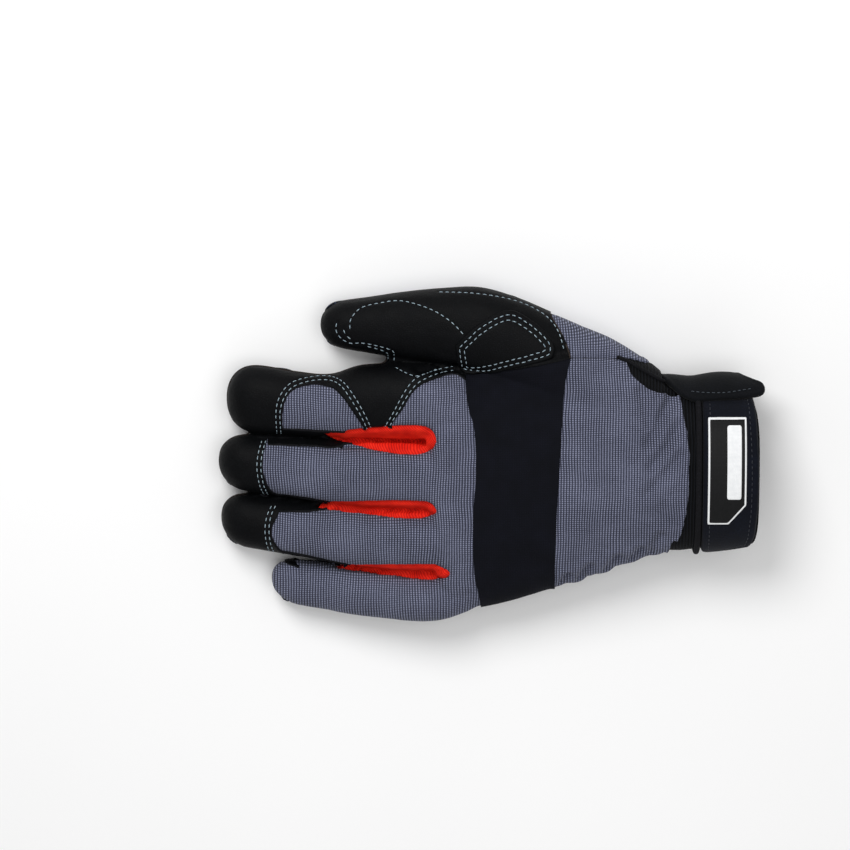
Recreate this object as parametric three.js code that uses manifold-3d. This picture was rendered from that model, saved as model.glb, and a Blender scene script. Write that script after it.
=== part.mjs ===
// A left mechanic glove lying palm down, as a hollow shell of sewn panels.
// Millimetres. +Z is up from the surface it lies on, the fingers point along -X and the thumb lies on the
// +Y side. The origin is on the surface, under the middle of the knuckle line. Every cross-section is cut
// square to X.
import * as THREE from "three";
import { mergeVertices } from "three/addons/utils/BufferGeometryUtils.js";
import Module from "manifold-3d";

const wasm = await Module();
wasm.setup();

// Hand sizes
const webLine = 35; // knuckle line to the webs between the fingers
const cuffEdge = 119; // knuckle line to the open edge of the cuff
const palmWidth = 115;
const palmDepth = 44;
const thumbRoot = 75; // knuckle line to where the thumb's tube starts, towards the cuff
const thumbReach = 83.5; // knuckle line to the thumb's tip
const thumbWidth = 54;
const thumbDepth = 40;
const thumbRound = 13;
const webRound = 9;
const indexReach = 127; // knuckle line to the fingertip
const middleReach = 131;
const ringReach = 130;
const pinkyReach = 107;
const indexWidth = 34.4;
const middleWidth = 32.6;
const ringWidth = 29.2;
const pinkyWidth = 25;
const fingerDepth = 34;
const pinkyDepth = 29;
const tipRound = 14; // length over which a fingertip rounds off
const fingerRoot = 4; // how far a finger's tube runs into the palm, past the knuckle line

// Material sizes
const wall = 2;
const seamGap = 0.3; // clearance between two pieces that meet
const patchThickness = 1;
const tipPatchLength = 34;
const tipPatchInset = 2.5; // from the fingertip and from the finger's sides
const strapThickness = 2.2;
const flapThickness = 2.4;
const labelThickness = 0.6;

// Seam and closure sizes, measured from the knuckle line
const bandFront = 11.5; // towards the fingers
const bandBack = 26; // towards the cuff
const palmPatchMargin = 8; // from the webs, and from the place under the band's back edge
const heelPatchOverlap = 2; // how far the heel patch starts before that place
const heelPatchMargin = 17; // from the heel patch to the cuff's seam
const cuffSeam = 85;
const slitStart = 54;
const strapFront = 93; // the strap's edge nearest the fingers
const strapEnd = 30; // how far the strap's free end lies over on the little-finger side
const strapCorner = 7;
const flapEdge = 42.5; // the closure flap's edge on the back of the wrist
const flapTail = 3; // how far the flap stands out past the cuff's edge
const labelLength = 46;
const labelWidth = 17.5;
const labelCorner = 9;
const labelMiddle = 8; // the label's middle, towards the thumb side

// Depth of the layers that lie on the shell
const patchBase = seamGap;
const patchTop = patchBase + patchThickness;
const strapTop = seamGap + strapThickness;
const labelTop = strapTop + seamGap + labelThickness;
const flapBase = strapTop + seamGap;
const flapTop = flapBase + flapThickness;
const reach = 400; // longer than the glove, for cutters that run past it

// The hand without its thumb. at runs from the webs (0) to the cuff's edge (1), y and w are shares of the
// palm's width, and z and h of its depth.
const palmRows = [
  { at: 0.0, y: 0.075, w: 0.78, z: 0.466, h: 0.8 },
  { at: 0.06, y: -0.03, w: 0.985, z: 0.466, h: 0.82 },
  { at: 0.11, y: -0.037, w: 1.0, z: 0.466, h: 0.84 },
  { at: 0.23, y: -0.021, w: 0.981, z: 0.466, h: 0.89 },
  { at: 0.38, y: 0.019, w: 0.936, z: 0.477, h: 0.955 },
  { at: 0.52, y: 0.043, w: 0.852, z: 0.489, h: 1.02 },
  { at: 0.64, y: 0.052, w: 0.745, z: 0.511, h: 1.03 },
  { at: 0.77, y: 0.039, w: 0.635, z: 0.534, h: 1.0 },
  { at: 1.0, y: 0.045, w: 0.588, z: 0.545, h: 0.977 },
];

// The thumb. at runs from its root (0) to its tip (1), y is a share of the palm's width, w of the thumb's
// width, and z and h of its depth.
const thumbRows = [
  { at: 0.0, y: 0.22, w: 0.8, z: 0.53, h: 0.95 },
  { at: 0.126, y: 0.33, w: 1.0, z: 0.52, h: 1.0 },
  { at: 0.24, y: 0.4, w: 1.0, z: 0.475, h: 0.96 },
  { at: 0.328, y: 0.47, w: 0.926, z: 0.455, h: 0.92 },
  { at: 0.416, y: 0.539, w: 0.852, z: 0.425, h: 0.875 },
  { at: 0.53, y: 0.604, w: 0.76, z: 0.39, h: 0.81 },
  { at: 0.65, y: 0.629, w: 0.655, z: 0.36, h: 0.74 },
  { at: 0.763, y: 0.635, w: 0.585, z: 0.33, h: 0.68 },
  { at: 0.864, y: 0.64, w: 0.5, z: 0.295, h: 0.6 },
  { at: 1.0, y: 0.655, w: 0.4, z: 0.25, h: 0.5 },
];

// How a finger thins and dips from the knuckle line (0) to its tip (1), as shares of its own depth.
const fingerDrop = [
  { at: 0.0, z: 0.58, h: 0.84 },
  { at: 0.25, z: 0.59, h: 1.0 },
  { at: 0.47, z: 0.545, h: 0.9 },
  { at: 0.62, z: 0.49, h: 0.82 },
  { at: 0.78, z: 0.395, h: 0.75 },
  { at: 1.0, z: 0.31, h: 0.68 },
];

// Each finger's own line and width. y is a share of the palm's width and w of the finger's own width.
const fingers = [
  {
    name: "index",
    reach: indexReach,
    width: indexWidth,
    depth: fingerDepth,
    rows: [
      { at: 0.0, y: 0.29, w: 0.9 },
      { at: 0.25, y: 0.324, w: 1.0 },
      { at: 0.5, y: 0.324, w: 0.97 },
      { at: 0.62, y: 0.302, w: 0.84 },
      { at: 0.74, y: 0.306, w: 0.86 },
      { at: 0.88, y: 0.32, w: 0.92 },
      { at: 1.0, y: 0.321, w: 0.9 },
    ],
  },
  {
    name: "middle",
    reach: middleReach,
    width: middleWidth,
    depth: fingerDepth,
    rows: [
      { at: 0.0, y: 0.03, w: 0.9 },
      { at: 0.25, y: 0.025, w: 1.0 },
      { at: 0.5, y: 0.028, w: 0.95 },
      { at: 0.75, y: 0.046, w: 0.87 },
      { at: 1.0, y: 0.062, w: 0.78 },
    ],
  },
  {
    name: "ring",
    reach: ringReach,
    width: ringWidth,
    depth: fingerDepth,
    rows: [
      { at: 0.0, y: -0.23, w: 0.9 },
      { at: 0.25, y: -0.243, w: 1.0 },
      { at: 0.5, y: -0.238, w: 0.95 },
      { at: 0.75, y: -0.206, w: 0.9 },
      { at: 1.0, y: -0.172, w: 0.86 },
    ],
  },
  {
    name: "pinky",
    reach: pinkyReach,
    width: pinkyWidth,
    depth: pinkyDepth,
    rows: [
      { at: 0.0, y: -0.4, w: 0.84 },
      { at: 0.25, y: -0.478, w: 1.0 },
      { at: 0.5, y: -0.48, w: 0.97 },
      { at: 0.75, y: -0.459, w: 0.92 },
      { at: 1.0, y: -0.43, w: 0.84 },
    ],
  },
];

// A value of a table at one place, on a smooth curve through its rows.
function sample(rows, column, at) {
  let i = 0;
  while (i < rows.length - 2 && at > rows[i + 1].at) i++;
  const [p, q] = [rows[i], rows[i + 1]];
  const before = rows[Math.max(i - 1, 0)];
  const after = rows[Math.min(i + 2, rows.length - 1)];
  const span = q.at - p.at;
  const t = THREE.MathUtils.clamp((at - p.at) / span, 0, 1);
  const slopeIn = ((q[column] - before[column]) / (q.at - before.at)) * span;
  const slopeOut = ((after[column] - p[column]) / (after.at - p.at)) * span;
  const [t2, t3] = [t * t, t * t * t];
  return (
    (2 * t3 - 3 * t2 + 1) * p[column] +
    (t3 - 2 * t2 + t) * slopeIn +
    (3 * t2 - 2 * t3) * q[column] +
    (t3 - t2) * slopeOut
  );
}

// The finger and thumb tubes and the hand's, each as a function that gives its section at a place along X.
const bulge = 2.25; // 2 is an ellipse, and more is squarer
const bluntness = 2.3; // the same for the round ends
const firstRing = 0.004; // where the first ring stands, as a share of the tube's length
const ringSpread = 1.6; // 1 spaces the rings evenly, and more brings them closer at the round end

function palmSection(x) {
  const at = (x + webLine) / (webLine + cuffEdge);
  return {
    y: sample(palmRows, "y", at) * palmWidth,
    a: (sample(palmRows, "w", at) * palmWidth) / 2,
    z: sample(palmRows, "z", at) * palmDepth,
    b: (sample(palmRows, "h", at) * palmDepth) / 2,
  };
}

function thumbSection(x) {
  const at = (thumbRoot - x) / (thumbRoot + thumbReach);
  return {
    y: sample(thumbRows, "y", at) * palmWidth,
    a: (sample(thumbRows, "w", at) * thumbWidth) / 2,
    z: sample(thumbRows, "z", at) * thumbDepth,
    b: (sample(thumbRows, "h", at) * thumbDepth) / 2,
  };
}

function fingerSection(finger, x) {
  const at = -x / finger.reach;
  return {
    y: sample(finger.rows, "y", at) * palmWidth,
    a: (sample(finger.rows, "w", at) * finger.width) / 2,
    z: sample(fingerDrop, "z", at) * finger.depth,
    b: (sample(fingerDrop, "h", at) * finger.depth) / 2,
  };
}

const finger = Object.fromEntries(fingers.map((f) => [f.name, f]));

// A geometry as a solid, with only its positions kept.
const sameSpot = 1e-4; // points nearer to each other than this are one point
function solid(geometry) {
  const bare = geometry.index ? geometry.toNonIndexed() : geometry.clone();
  bare.deleteAttribute("normal");
  bare.deleteAttribute("uv");
  const merged = mergeVertices(bare, sameSpot);
  return new wasm.Manifold(
    new wasm.Mesh({
      numProp: 3,
      vertProperties: merged.attributes.position.array,
      triVerts: new Uint32Array(merged.index.array),
    }),
  );
}

// A closed tube from the X of its round end to the X of its flat end: a cylinder whose rings are moved to the
// sections. grow moves its skin outwards, or inwards where it is negative.
function tube(section, roundX, flatX, round, grow, sides, steps) {
  const geometry = new THREE.CylinderGeometry(1, 1, 1, sides, steps);
  const place = geometry.attributes.position;
  const end = roundX - grow;
  const rounding = round + grow;
  for (let i = 0; i < place.count; i++) {
    const share = THREE.MathUtils.clamp(place.getY(i) + 0.5, 0, 1);
    const x = end + (flatX - end) * (firstRing + (1 - firstRing) * share ** ringSpread);
    const s = section(Math.max(x, roundX));
    const inside = Math.min((x - end) / rounding, 1);
    const shrink = (1 - (1 - inside) ** bluntness) ** (1 / bluntness);
    const [c, d] = [place.getX(i), place.getZ(i)];
    const rim = Math.hypot(c, d) || 1;
    const across = (Math.sign(c) * Math.abs(c / rim) ** (2 / bulge)) * Math.min(rim, 1);
    const up = (Math.sign(d) * Math.abs(d / rim) ** (2 / bulge)) * Math.min(rim, 1);
    const onAxis = Math.hypot(c, d) < sameSpot ? 0 : 1;
    place.setXYZ(
      i,
      x,
      s.y + onAxis * across * (s.a + grow) * shrink,
      s.z + onAxis * up * (s.b + grow) * shrink,
    );
  }
  const made = solid(geometry);
  return made.volume() < 0 ? solid(flipped(geometry)) : made;
}

// The same geometry with each face turned round.
function flipped(geometry) {
  const turned = geometry.clone();
  const index = turned.index.array;
  for (let i = 0; i < index.length; i += 3) {
    [index[i + 1], index[i + 2]] = [index[i + 2], index[i + 1]];
  }
  return turned;
}

// A box from one corner to the other.
function block(low, high) {
  const [sx, sy, sz] = low.map((v, i) => high[i] - v);
  const geometry = new THREE.BoxGeometry(sx, sy, sz);
  geometry.translate(low[0] + sx / 2, low[1] + sy / 2, low[2] + sz / 2);
  return solid(geometry);
}

const floorHalf = (z) => block([-reach, -reach, z], [reach, reach, reach]);

// Sides and rings of the tubes. The skin is finer than the lining.
const skin = { palm: 26, palmRings: 11, thumb: 14, thumbRings: 10, finger: 12, fingerRings: 8 };
const lining = { palm: 14, palmRings: 7, thumb: 10, thumbRings: 7, finger: 8, fingerRings: 5 };

// Everything that the hand fills, with its skin moved by grow, standing on a floor at that height.
function handForm(grow, floor, facets, open = 0) {
  const parts = [
    tube(palmSection, -webLine, cuffEdge + open, webRound, grow, facets.palm, facets.palmRings),
    tube(thumbSection, -thumbReach, thumbRoot, thumbRound, grow, facets.thumb, facets.thumbRings),
  ];
  for (const f of fingers) {
    const section = (x) => fingerSection(f, x);
    parts.push(tube(section, -f.reach, fingerRoot, tipRound, grow, facets.finger, facets.fingerRings));
  }
  return parts.reduce((all, one) => all.add(one)).intersect(floorHalf(floor));
}

// The hand's tube alone, for what is sewn on round the wrist.
function wristForm(grow, end) {
  return tube(palmSection, -webLine, end, webRound, grow, skin.palm, skin.palmRings).intersect(floorHalf(0));
}

// A plan outline, as points in X and Y, moved outwards by spread.
function spreadOutline(points, spread) {
  const turn = Math.sign(THREE.ShapeUtils.area(points)) || 1;
  return points.map((p, i) => {
    const before = points[(i + points.length - 1) % points.length];
    const after = points[(i + 1) % points.length];
    const u = new THREE.Vector2().subVectors(p, before).normalize();
    const v = new THREE.Vector2().subVectors(after, p).normalize();
    const out = new THREE.Vector2(u.y + v.y, -u.x - v.x).normalize();
    const miter = 1 / Math.max(0.5, out.x * u.y - out.y * u.x);
    return new THREE.Vector2(p.x + out.x * spread * turn * miter, p.y + out.y * spread * turn * miter);
  });
}

// A straight column over a plan outline, from one height to another.
function column(points, spread, low = -reach, high = reach) {
  const shape = new THREE.Shape(spreadOutline(points, spread));
  const geometry = new THREE.ExtrudeGeometry(shape, { depth: high - low, bevelEnabled: false });
  geometry.translate(0, 0, low);
  return solid(geometry);
}

// Points on a smooth line through a few chosen ones.
function smooth(points, count = 10) {
  return new THREE.SplineCurve(points.map(([x, y]) => new THREE.Vector2(x, y))).getPoints(count);
}

const corner = (x, y) => new THREE.Vector2(x, y);

// What lies above the seam between the back and the palm. The seam drops towards the fingertips.
const seamLine = [
  { x: -1.1, z: 0.16 },
  { x: -0.7, z: 0.26 },
  { x: -0.25, z: 0.34 },
  { x: 0.35, z: 0.36 },
  { x: 0.95, z: 0.4 },
];

function aboveSeam(shift) {
  const points = seamLine.map((row) => corner(row.x * middleReach, row.z * palmDepth + shift));
  points[0].x = -reach;
  points[points.length - 1].x = reach;
  const shape = new THREE.Shape([...points, corner(reach, reach), corner(-reach, reach)]);
  const geometry = new THREE.ExtrudeGeometry(shape, { depth: 2 * reach, bevelEnabled: false });
  geometry.rotateX(Math.PI / 2);
  geometry.translate(0, reach, 0);
  return solid(geometry);
}

// Lines on the back of the hand that two panels share. Each runs from the little-finger side to the thumb side,
// with dx in millimetres from the line's own place and y as a share of the palm's width.
const far = 0.9;
const across = (x0, rows) => smooth(rows.map((row) => [x0 + row.dx, row.y * palmWidth]), 12);
const bandFrontLine = across(-bandFront, [
  { dx: 6, y: -far },
  { dx: 3, y: -0.53 },
  { dx: -0.5, y: -0.34 },
  { dx: -1, y: -0.1 },
  { dx: 0.4, y: 0.06 },
  { dx: -0.6, y: 0.24 },
  { dx: -4, y: 0.38 },
  { dx: -10, y: far },
]);
const bandBackLine = across(bandBack, [
  { dx: 1, y: -far },
  { dx: -0.5, y: -0.44 },
  { dx: -0.6, y: -0.2 },
  { dx: 1, y: 0.1 },
  { dx: 3, y: 0.4 },
  { dx: 6, y: 0.54 },
  { dx: 12, y: far },
]);
const cuffLine = across(cuffSeam, [
  { dx: -16, y: -far },
  { dx: -7, y: -0.27 },
  { dx: -2.5, y: -0.2 },
  { dx: 1, y: 0 },
  { dx: 0.5, y: 0.2 },
  { dx: -2, y: 0.32 },
  { dx: -14, y: far },
]);

// The line where the thumb's leather stops against the back of the hand.
const thumbCrease = smooth([
  [-0.85 * thumbReach, 0.45 * palmWidth],
  [-bandFront - 8, 0.447 * palmWidth],
  [0, 0.47 * palmWidth],
  [bandBack - 6, 0.505 * palmWidth],
  [bandBack + 6, 0.53 * palmWidth],
]);

// The thumb's leather in plan. It ends along the crease and against the knit on the thumb's side.
const thumbGap = 0.487; // the middle of the gap between the thumb and the index finger, in palm widths
const indexSeam = -0.66 * webLine;
const thumbOutline = [
  corner(-thumbReach - 6, far * palmWidth),
  corner(-thumbReach - 6, thumbGap * palmWidth),
  corner(-0.35 * thumbReach, thumbGap * palmWidth),
  ...thumbCrease.filter((p) => p.x > -bandFront - 6),
  corner(cuffSeam, far * palmWidth),
];

// The seam from the knuckle band to the slit, and on along the slit's two edges to the cuff.
const slitLower = smooth([
  [bandBack + 6, 0.53 * palmWidth],
  [slitStart, 0.525 * palmWidth],
  [slitStart + 11, 0.455 * palmWidth],
  [slitStart + 20, 0.41 * palmWidth],
  [cuffSeam + 1, 0.375 * palmWidth],
]);
const slitUpper = smooth([
  [slitStart, 0.53 * palmWidth],
  [slitStart + 15, 0.485 * palmWidth],
  [cuffSeam + 1, 0.395 * palmWidth],
]);

// The seam along the thumb between its leather and its knit, on the upper side and on the side it lies on.
const thumbTopLine = smooth([
  [-thumbReach - 6, 0.66 * palmWidth],
  [-thumbReach + 11, 0.725 * palmWidth],
  [-0.45 * thumbReach, 0.76 * palmWidth],
  [0, 0.745 * palmWidth],
  [bandBack - 5, 0.64 * palmWidth],
  [bandBack + 6, 0.53 * palmWidth],
]);
const thumbUnderLine = smooth([
  [-thumbReach - 6, 0.655 * palmWidth],
  [-thumbReach + 20, 0.655 * palmWidth],
  [-0.3 * thumbReach, 0.665 * palmWidth],
  [bandBack, 0.52 * palmWidth],
  [slitStart + 6, 0.42 * palmWidth],
  [cuffSeam + 1, 0.3 * palmWidth],
]);
const thumbSplit = 0.33 * thumbDepth; // height where the upper seam hands over to the lower one

// The gap between two fingers, as the shares of the palm's width where it runs at the webs and at the
// fingertips. wide, long and past are a fourchette's half width, its reach beyond the webs and its reach into
// the palm, as shares of a finger's width.
const gaps = [
  { name: "index_middle", web: 0.172, mid: 0.168, wide: 0.19, long: 1.38, past: 0.12 },
  { name: "middle_ring", web: -0.113, mid: -0.11, wide: 0.125, long: 1.44, past: 0.12 },
  { name: "ring_pinky", web: -0.37, mid: -0.366, wide: 0.125, long: 1.2, past: 0.32 },
];

// A fourchette's outline in plan: a long drop, blunt at the web and pointed towards the fingertips.
function dropOutline(gap) {
  const [blunt, point] = [-webLine + gap.past * indexWidth, -webLine - gap.long * indexWidth];
  const [y0, y1] = [gap.web * palmWidth, gap.mid * palmWidth];
  const width = [0, 0.24, 0.6, 0.92, 0.96, 0.64, 0.14];
  const side = (sign) =>
    width.map((w, i) => {
      const t = i / (width.length - 1);
      return corner(point + (blunt - point) * t, y1 + (y0 - y1) * t + sign * w * gap.wide * indexWidth);
    });
  return [...side(-1), ...side(1).slice(1).reverse()];
}

// Plan outlines of the back panels
const indexBackOutline = smooth(
  [
    [-0.79 * indexReach, 0.15 * palmWidth],
    [-0.795 * indexReach, 0.29 * palmWidth],
    [-0.76 * indexReach, 0.378 * palmWidth],
    [-0.66 * indexReach, 0.405 * palmWidth],
    [-0.585 * indexReach, 0.375 * palmWidth],
    [-0.5 * indexReach, 0.24 * palmWidth],
    [-0.47 * indexReach, 0.15 * palmWidth],
  ],
  16,
);

// The knit that covers the backs of the fingers up to the knuckle band, with the leather caps left out.
const fingerBackOutline = [
  ...bandFrontLine.filter((p) => p.y < 0.452 * palmWidth),
  corner(-bandFront - 9, 0.452 * palmWidth),
  ...smooth(
    [
      [-bandFront - 14, 0.45 * palmWidth],
      [-bandFront - 27, 0.41 * palmWidth],
      [-bandFront - 34, 0.32 * palmWidth],
      [-bandFront - 40, 0.235 * palmWidth],
      [-bandFront - 42, 0.168 * palmWidth],
    ],
    6,
  ),
  corner(-0.83 * middleReach, 0.172 * palmWidth),
  ...smooth(
    [
      [-0.84 * middleReach, 0.15 * palmWidth],
      [-0.85 * middleReach, 0.06 * palmWidth],
      [-0.825 * middleReach, -0.04 * palmWidth],
      [-0.76 * middleReach, -0.1 * palmWidth],
    ],
    5,
  ),
  ...smooth(
    [
      [-0.79 * ringReach, -0.125 * palmWidth],
      [-0.82 * ringReach, -0.21 * palmWidth],
      [-0.78 * ringReach, -0.3 * palmWidth],
      [-0.7 * ringReach, -0.345 * palmWidth],
    ],
    5,
  ),
  corner(-pinkyReach - 8, -0.32 * palmWidth),
  corner(-pinkyReach - 8, -far * palmWidth),
];

const bandOutline = [
  ...bandFrontLine.filter((p) => p.y < 0.44 * palmWidth),
  ...thumbCrease.filter((p) => p.x > -bandFront - 6),
  ...bandBackLine.filter((p) => p.y < 0.52 * palmWidth).reverse(),
];

const wristOutline = [
  ...bandBackLine.filter((p) => p.y < 0.52 * palmWidth),
  ...slitLower,
  ...cuffLine.filter((p) => p.y < 0.36 * palmWidth).reverse(),
];

const slitOutline = [
  ...slitLower.filter((p) => p.x >= slitStart),
  ...slitUpper.filter((p) => p.x > slitStart + 3).reverse(),
];

const thumbTopOutline = [
  ...thumbTopLine,
  ...slitLower.filter((p) => p.x > bandBack + 8 && p.x < slitStart),
  ...slitUpper,
  corner(cuffSeam + 1, far * palmWidth),
  corner(-thumbReach - 6, far * palmWidth),
];

const thumbUnderOutline = [
  ...thumbUnderLine,
  corner(cuffSeam + 1, far * palmWidth),
  corner(-thumbReach - 6, far * palmWidth),
];

const cuffOutline = [
  ...cuffLine,
  corner(cuffEdge + reach, far * palmWidth),
  corner(cuffEdge + reach, -far * palmWidth),
];

// Each finger's lane in plan, up to the line where its panels meet the palm's. They part in the middle of the
// gap between two fingers.
const fingerSeam = -0.8 * webLine;
const lanes = fingers.map((f, i) => ({ finger: f, above: fingers[i - 1], below: fingers[i + 1] }));

function gapMiddle(upper, lower, x) {
  if (!upper) return thumbGap * palmWidth;
  if (!lower) return -far * palmWidth;
  const [u, l] = [fingerSection(upper, x), fingerSection(lower, x)];
  return (u.y - u.a + l.y + l.a) / 2;
}

function laneOutline(row) {
  const places = [-1.1, -0.88, -0.76, -0.61, -0.46].map((share) => share * middleReach);
  const ends = [...places, row.finger === finger.index ? indexSeam : fingerSeam];
  const upper = ends.map((x) => corner(x, gapMiddle(row.above, row.finger, x)));
  const lower = ends.map((x) => corner(x, gapMiddle(row.finger, row.below, x)));
  return [...upper, ...lower.reverse()];
}

// The shell of cloth and leather, open at the cuff. It stands on the patches under it.
const outer = handForm(0, patchTop, skin);
const inner = handForm(-wall, patchTop + wall, lining, wall);
const shell = outer.subtract(inner).trimByPlane([-1, 0, 0], -cuffEdge);

const half = seamGap / 2;
const backHalf = aboveSeam(half);
const backGrown = aboveSeam(-half);

const meshes = [];
const knitGrey = { color: 0x6d6f7c, roughness: 0.9, metalness: 0 };
const leatherBlack = { color: 0x141517, roughness: 0.62, metalness: 0 };
const neopreneNavy = { color: 0x14151f, roughness: 0.55, metalness: 0 };
const meshNavy = { color: 0x1c2333, roughness: 0.8, metalness: 0 };
const stretchOrange = { color: 0xff3b1d, roughness: 0.8, metalness: 0 };
const elasticBlack = { color: 0x101113, roughness: 0.85, metalness: 0 };
const printWhite = { color: 0xf2f2f2, roughness: 0.5, metalness: 0 };

// Keeps the largest body of a solid and adds it to the glove under a name.
function keep(name, made, finish) {
  const largest = made.decompose().sort((p, q) => q.volume() - p.volume())[0];
  const mesh = largest.getMesh();
  const geometry = new THREE.BufferGeometry();
  const positions = new Float32Array(mesh.numVert * 3);
  for (let i = 0; i < mesh.numVert; i++) {
    positions.set(mesh.vertProperties.subarray(i * mesh.numProp, i * mesh.numProp + 3), i * 3);
  }
  geometry.setAttribute("position", new THREE.BufferAttribute(positions, 3));
  geometry.setIndex(new THREE.BufferAttribute(mesh.triVerts, 1));
  const part = new THREE.Mesh(geometry, new THREE.MeshStandardMaterial(finish));
  part.name = name;
  meshes.push(part);
}

// Fourchettes are cut first, and each panel is cut from what is left of the shell.
const drops = gaps.map((gap) => ({ name: gap.name, points: dropOutline(gap) }));
const shellLess = drops.reduce((left, d) => left.subtract(column(d.points, half)), shell);
for (const d of drops) {
  keep(`fourchette_${d.name}`, shell.intersect(column(d.points, -half)), stretchOrange);
}

const cuffCut = column(cuffOutline, half);
const thumbCut = column(thumbTopOutline, half, thumbSplit).add(
  column(thumbUnderOutline, half, -reach, thumbSplit),
);
const thumbKeep = column(thumbTopOutline, -half, thumbSplit).add(
  column(thumbUnderOutline, -half, -reach, thumbSplit),
);

keep("cuff_band", shellLess.intersect(column(cuffOutline, -half)), elasticBlack);
keep("thumb_side_knit", shellLess.intersect(thumbKeep).subtract(cuffCut), knitGrey);

const backs = [
  ["finger_back_knit", fingerBackOutline, knitGrey],
  ["index_back_knit", indexBackOutline, knitGrey],
  ["knuckle_band", bandOutline, neopreneNavy],
  ["wrist_back_knit", wristOutline, knitGrey],
  ["slit_gore", slitOutline, elasticBlack],
];
const withoutLane = (left, row) => left.subtract(column(laneOutline(row), half));
const rest = shellLess.subtract(cuffCut).subtract(thumbCut);
let leather = rest;
for (const [name, outline, finish] of backs) {
  const panel = rest.intersect(column(outline, -half)).intersect(backHalf);
  leather = leather.subtract(column(outline, half).intersect(backGrown));
  if (name !== "finger_back_knit") {
    keep(name, panel, finish);
    continue;
  }
  for (const row of lanes.slice(1)) {
    keep(`${row.finger.name}_back_knit`, panel.intersect(column(laneOutline(row), -half)), finish);
  }
  keep("knuckle_knit", lanes.slice(1).reduce(withoutLane, panel), finish);
}

// The leather: the thumb's piece, the backs of three fingertips, the fronts of the fingers and the palm
keep("thumb_leather", leather.intersect(column(thumbOutline, -half)), leatherBlack);
const handLeather = leather.subtract(column(thumbOutline, half));
const backLeather = handLeather.intersect(backHalf);
const frontLeather = handLeather.subtract(backGrown);
for (const row of lanes) {
  const lane = column(laneOutline(row), -half);
  keep(`${row.finger.name}_front_leather`, frontLeather.intersect(lane), leatherBlack);
  if (row.finger !== finger.pinky) {
    keep(`${row.finger.name}_back_leather`, backLeather.intersect(lane), leatherBlack);
  }
}
keep("palm_leather", lanes.reduce(withoutLane, frontLeather), leatherBlack);

// Patches sewn on the outside of the leather, as one thin layer over the hand
const patchLayer = handForm(patchTop, 0, skin).subtract(handForm(patchBase, patchThickness, skin));

function roundedOutline(x0, x1, y0, y1, radius, turn = 3) {
  const points = [];
  for (const [cx, cy, from] of [
    [x1 - radius, y1 - radius, 0],
    [x0 + radius, y1 - radius, 1],
    [x0 + radius, y0 + radius, 2],
    [x1 - radius, y0 + radius, 3],
  ]) {
    for (let i = 0; i <= turn; i++) {
      const angle = ((from + i / turn) * Math.PI) / 2;
      points.push(corner(cx + radius * Math.cos(angle), cy + radius * Math.sin(angle)));
    }
  }
  return points;
}

const tips = [
  { name: "thumb", end: -thumbReach, section: thumbSection },
  ...fingers.map((f) => ({ name: f.name, end: -f.reach, section: (x) => fingerSection(f, x) })),
];
for (const tip of tips) {
  const middle = tip.section(tip.end + tipPatchLength / 2);
  const halfWidth = middle.a - tipPatchInset;
  const outline = roundedOutline(
    tip.end + tipPatchInset,
    tip.end + tipPatchLength,
    middle.y - halfWidth,
    middle.y + halfWidth,
    0.62 * halfWidth,
  );
  keep(`${tip.name}_tip_patch`, patchLayer.intersect(column(outline, 0, -1, 0.5 * middle.z)), meshNavy);
}

const palmPatchOutline = roundedOutline(
  -webLine + palmPatchMargin,
  bandBack - palmPatchMargin,
  -0.42 * palmWidth,
  0.34 * palmWidth,
  0.12 * palmWidth,
);
const heelPatchOutline = roundedOutline(
  bandBack - heelPatchOverlap,
  cuffSeam - heelPatchMargin,
  -0.3 * palmWidth,
  0.3 * palmWidth,
  0.1 * palmWidth,
);
keep("palm_patch", patchLayer.intersect(column(palmPatchOutline, 0, -1, 0.25 * palmDepth)), meshNavy);
keep("heel_patch", patchLayer.intersect(column(heelPatchOutline, 0, -1, 0.25 * palmDepth)), meshNavy);

// The leather patch over the web of the thumb
const webPatchOutline = [
  ...smooth(
    [
      [-0.24 * thumbReach, 0.49 * palmWidth],
      [-0.05 * thumbReach, 0.62 * palmWidth],
      [0.07 * thumbReach, 0.66 * palmWidth],
      [0.19 * thumbReach, 0.61 * palmWidth],
      [0.265 * thumbReach, 0.53 * palmWidth],
    ],
    8,
  ),
  corner(0.24 * thumbReach, 0.508 * palmWidth),
  corner(0, 0.478 * palmWidth),
];
keep(
  "thumb_web_patch",
  patchLayer.intersect(column(webPatchOutline, 0, 0.5 * palmDepth, reach)),
  leatherBlack,
);

// The strap over the back of the wrist, the label on it and the flap that it comes out from under
const strapLayer = wristForm(strapTop, cuffEdge).subtract(wristForm(seamGap, cuffEdge + 1));
const strapBack = cuffEdge - 1;
const strapRound = roundedOutline(
  strapFront,
  strapBack,
  -strapEnd - strapCorner,
  flapEdge + 2 * strapCorner,
  strapCorner,
);
const strapCut = column(strapRound, 0, 0.42 * palmDepth, reach);
keep("wrist_strap", strapLayer.intersect(strapCut), neopreneNavy);

const labelLayer = wristForm(labelTop, cuffEdge).subtract(wristForm(strapTop + seamGap, cuffEdge + 1));
const labelX = (strapFront + strapBack) / 2;
const labelOutline = [
  corner(labelX - labelWidth / 2, labelMiddle + labelLength / 2),
  corner(labelX + labelWidth / 2, labelMiddle + labelLength / 2),
  corner(labelX + labelWidth / 2, labelMiddle - labelLength / 2 + labelCorner),
  corner(labelX + labelWidth / 2 - labelCorner, labelMiddle - labelLength / 2),
  corner(labelX - labelWidth / 2, labelMiddle - labelLength / 2),
];
keep("strap_label", labelLayer.intersect(column(labelOutline, 0, 0.5 * palmDepth, reach)), printWhite);

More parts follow.
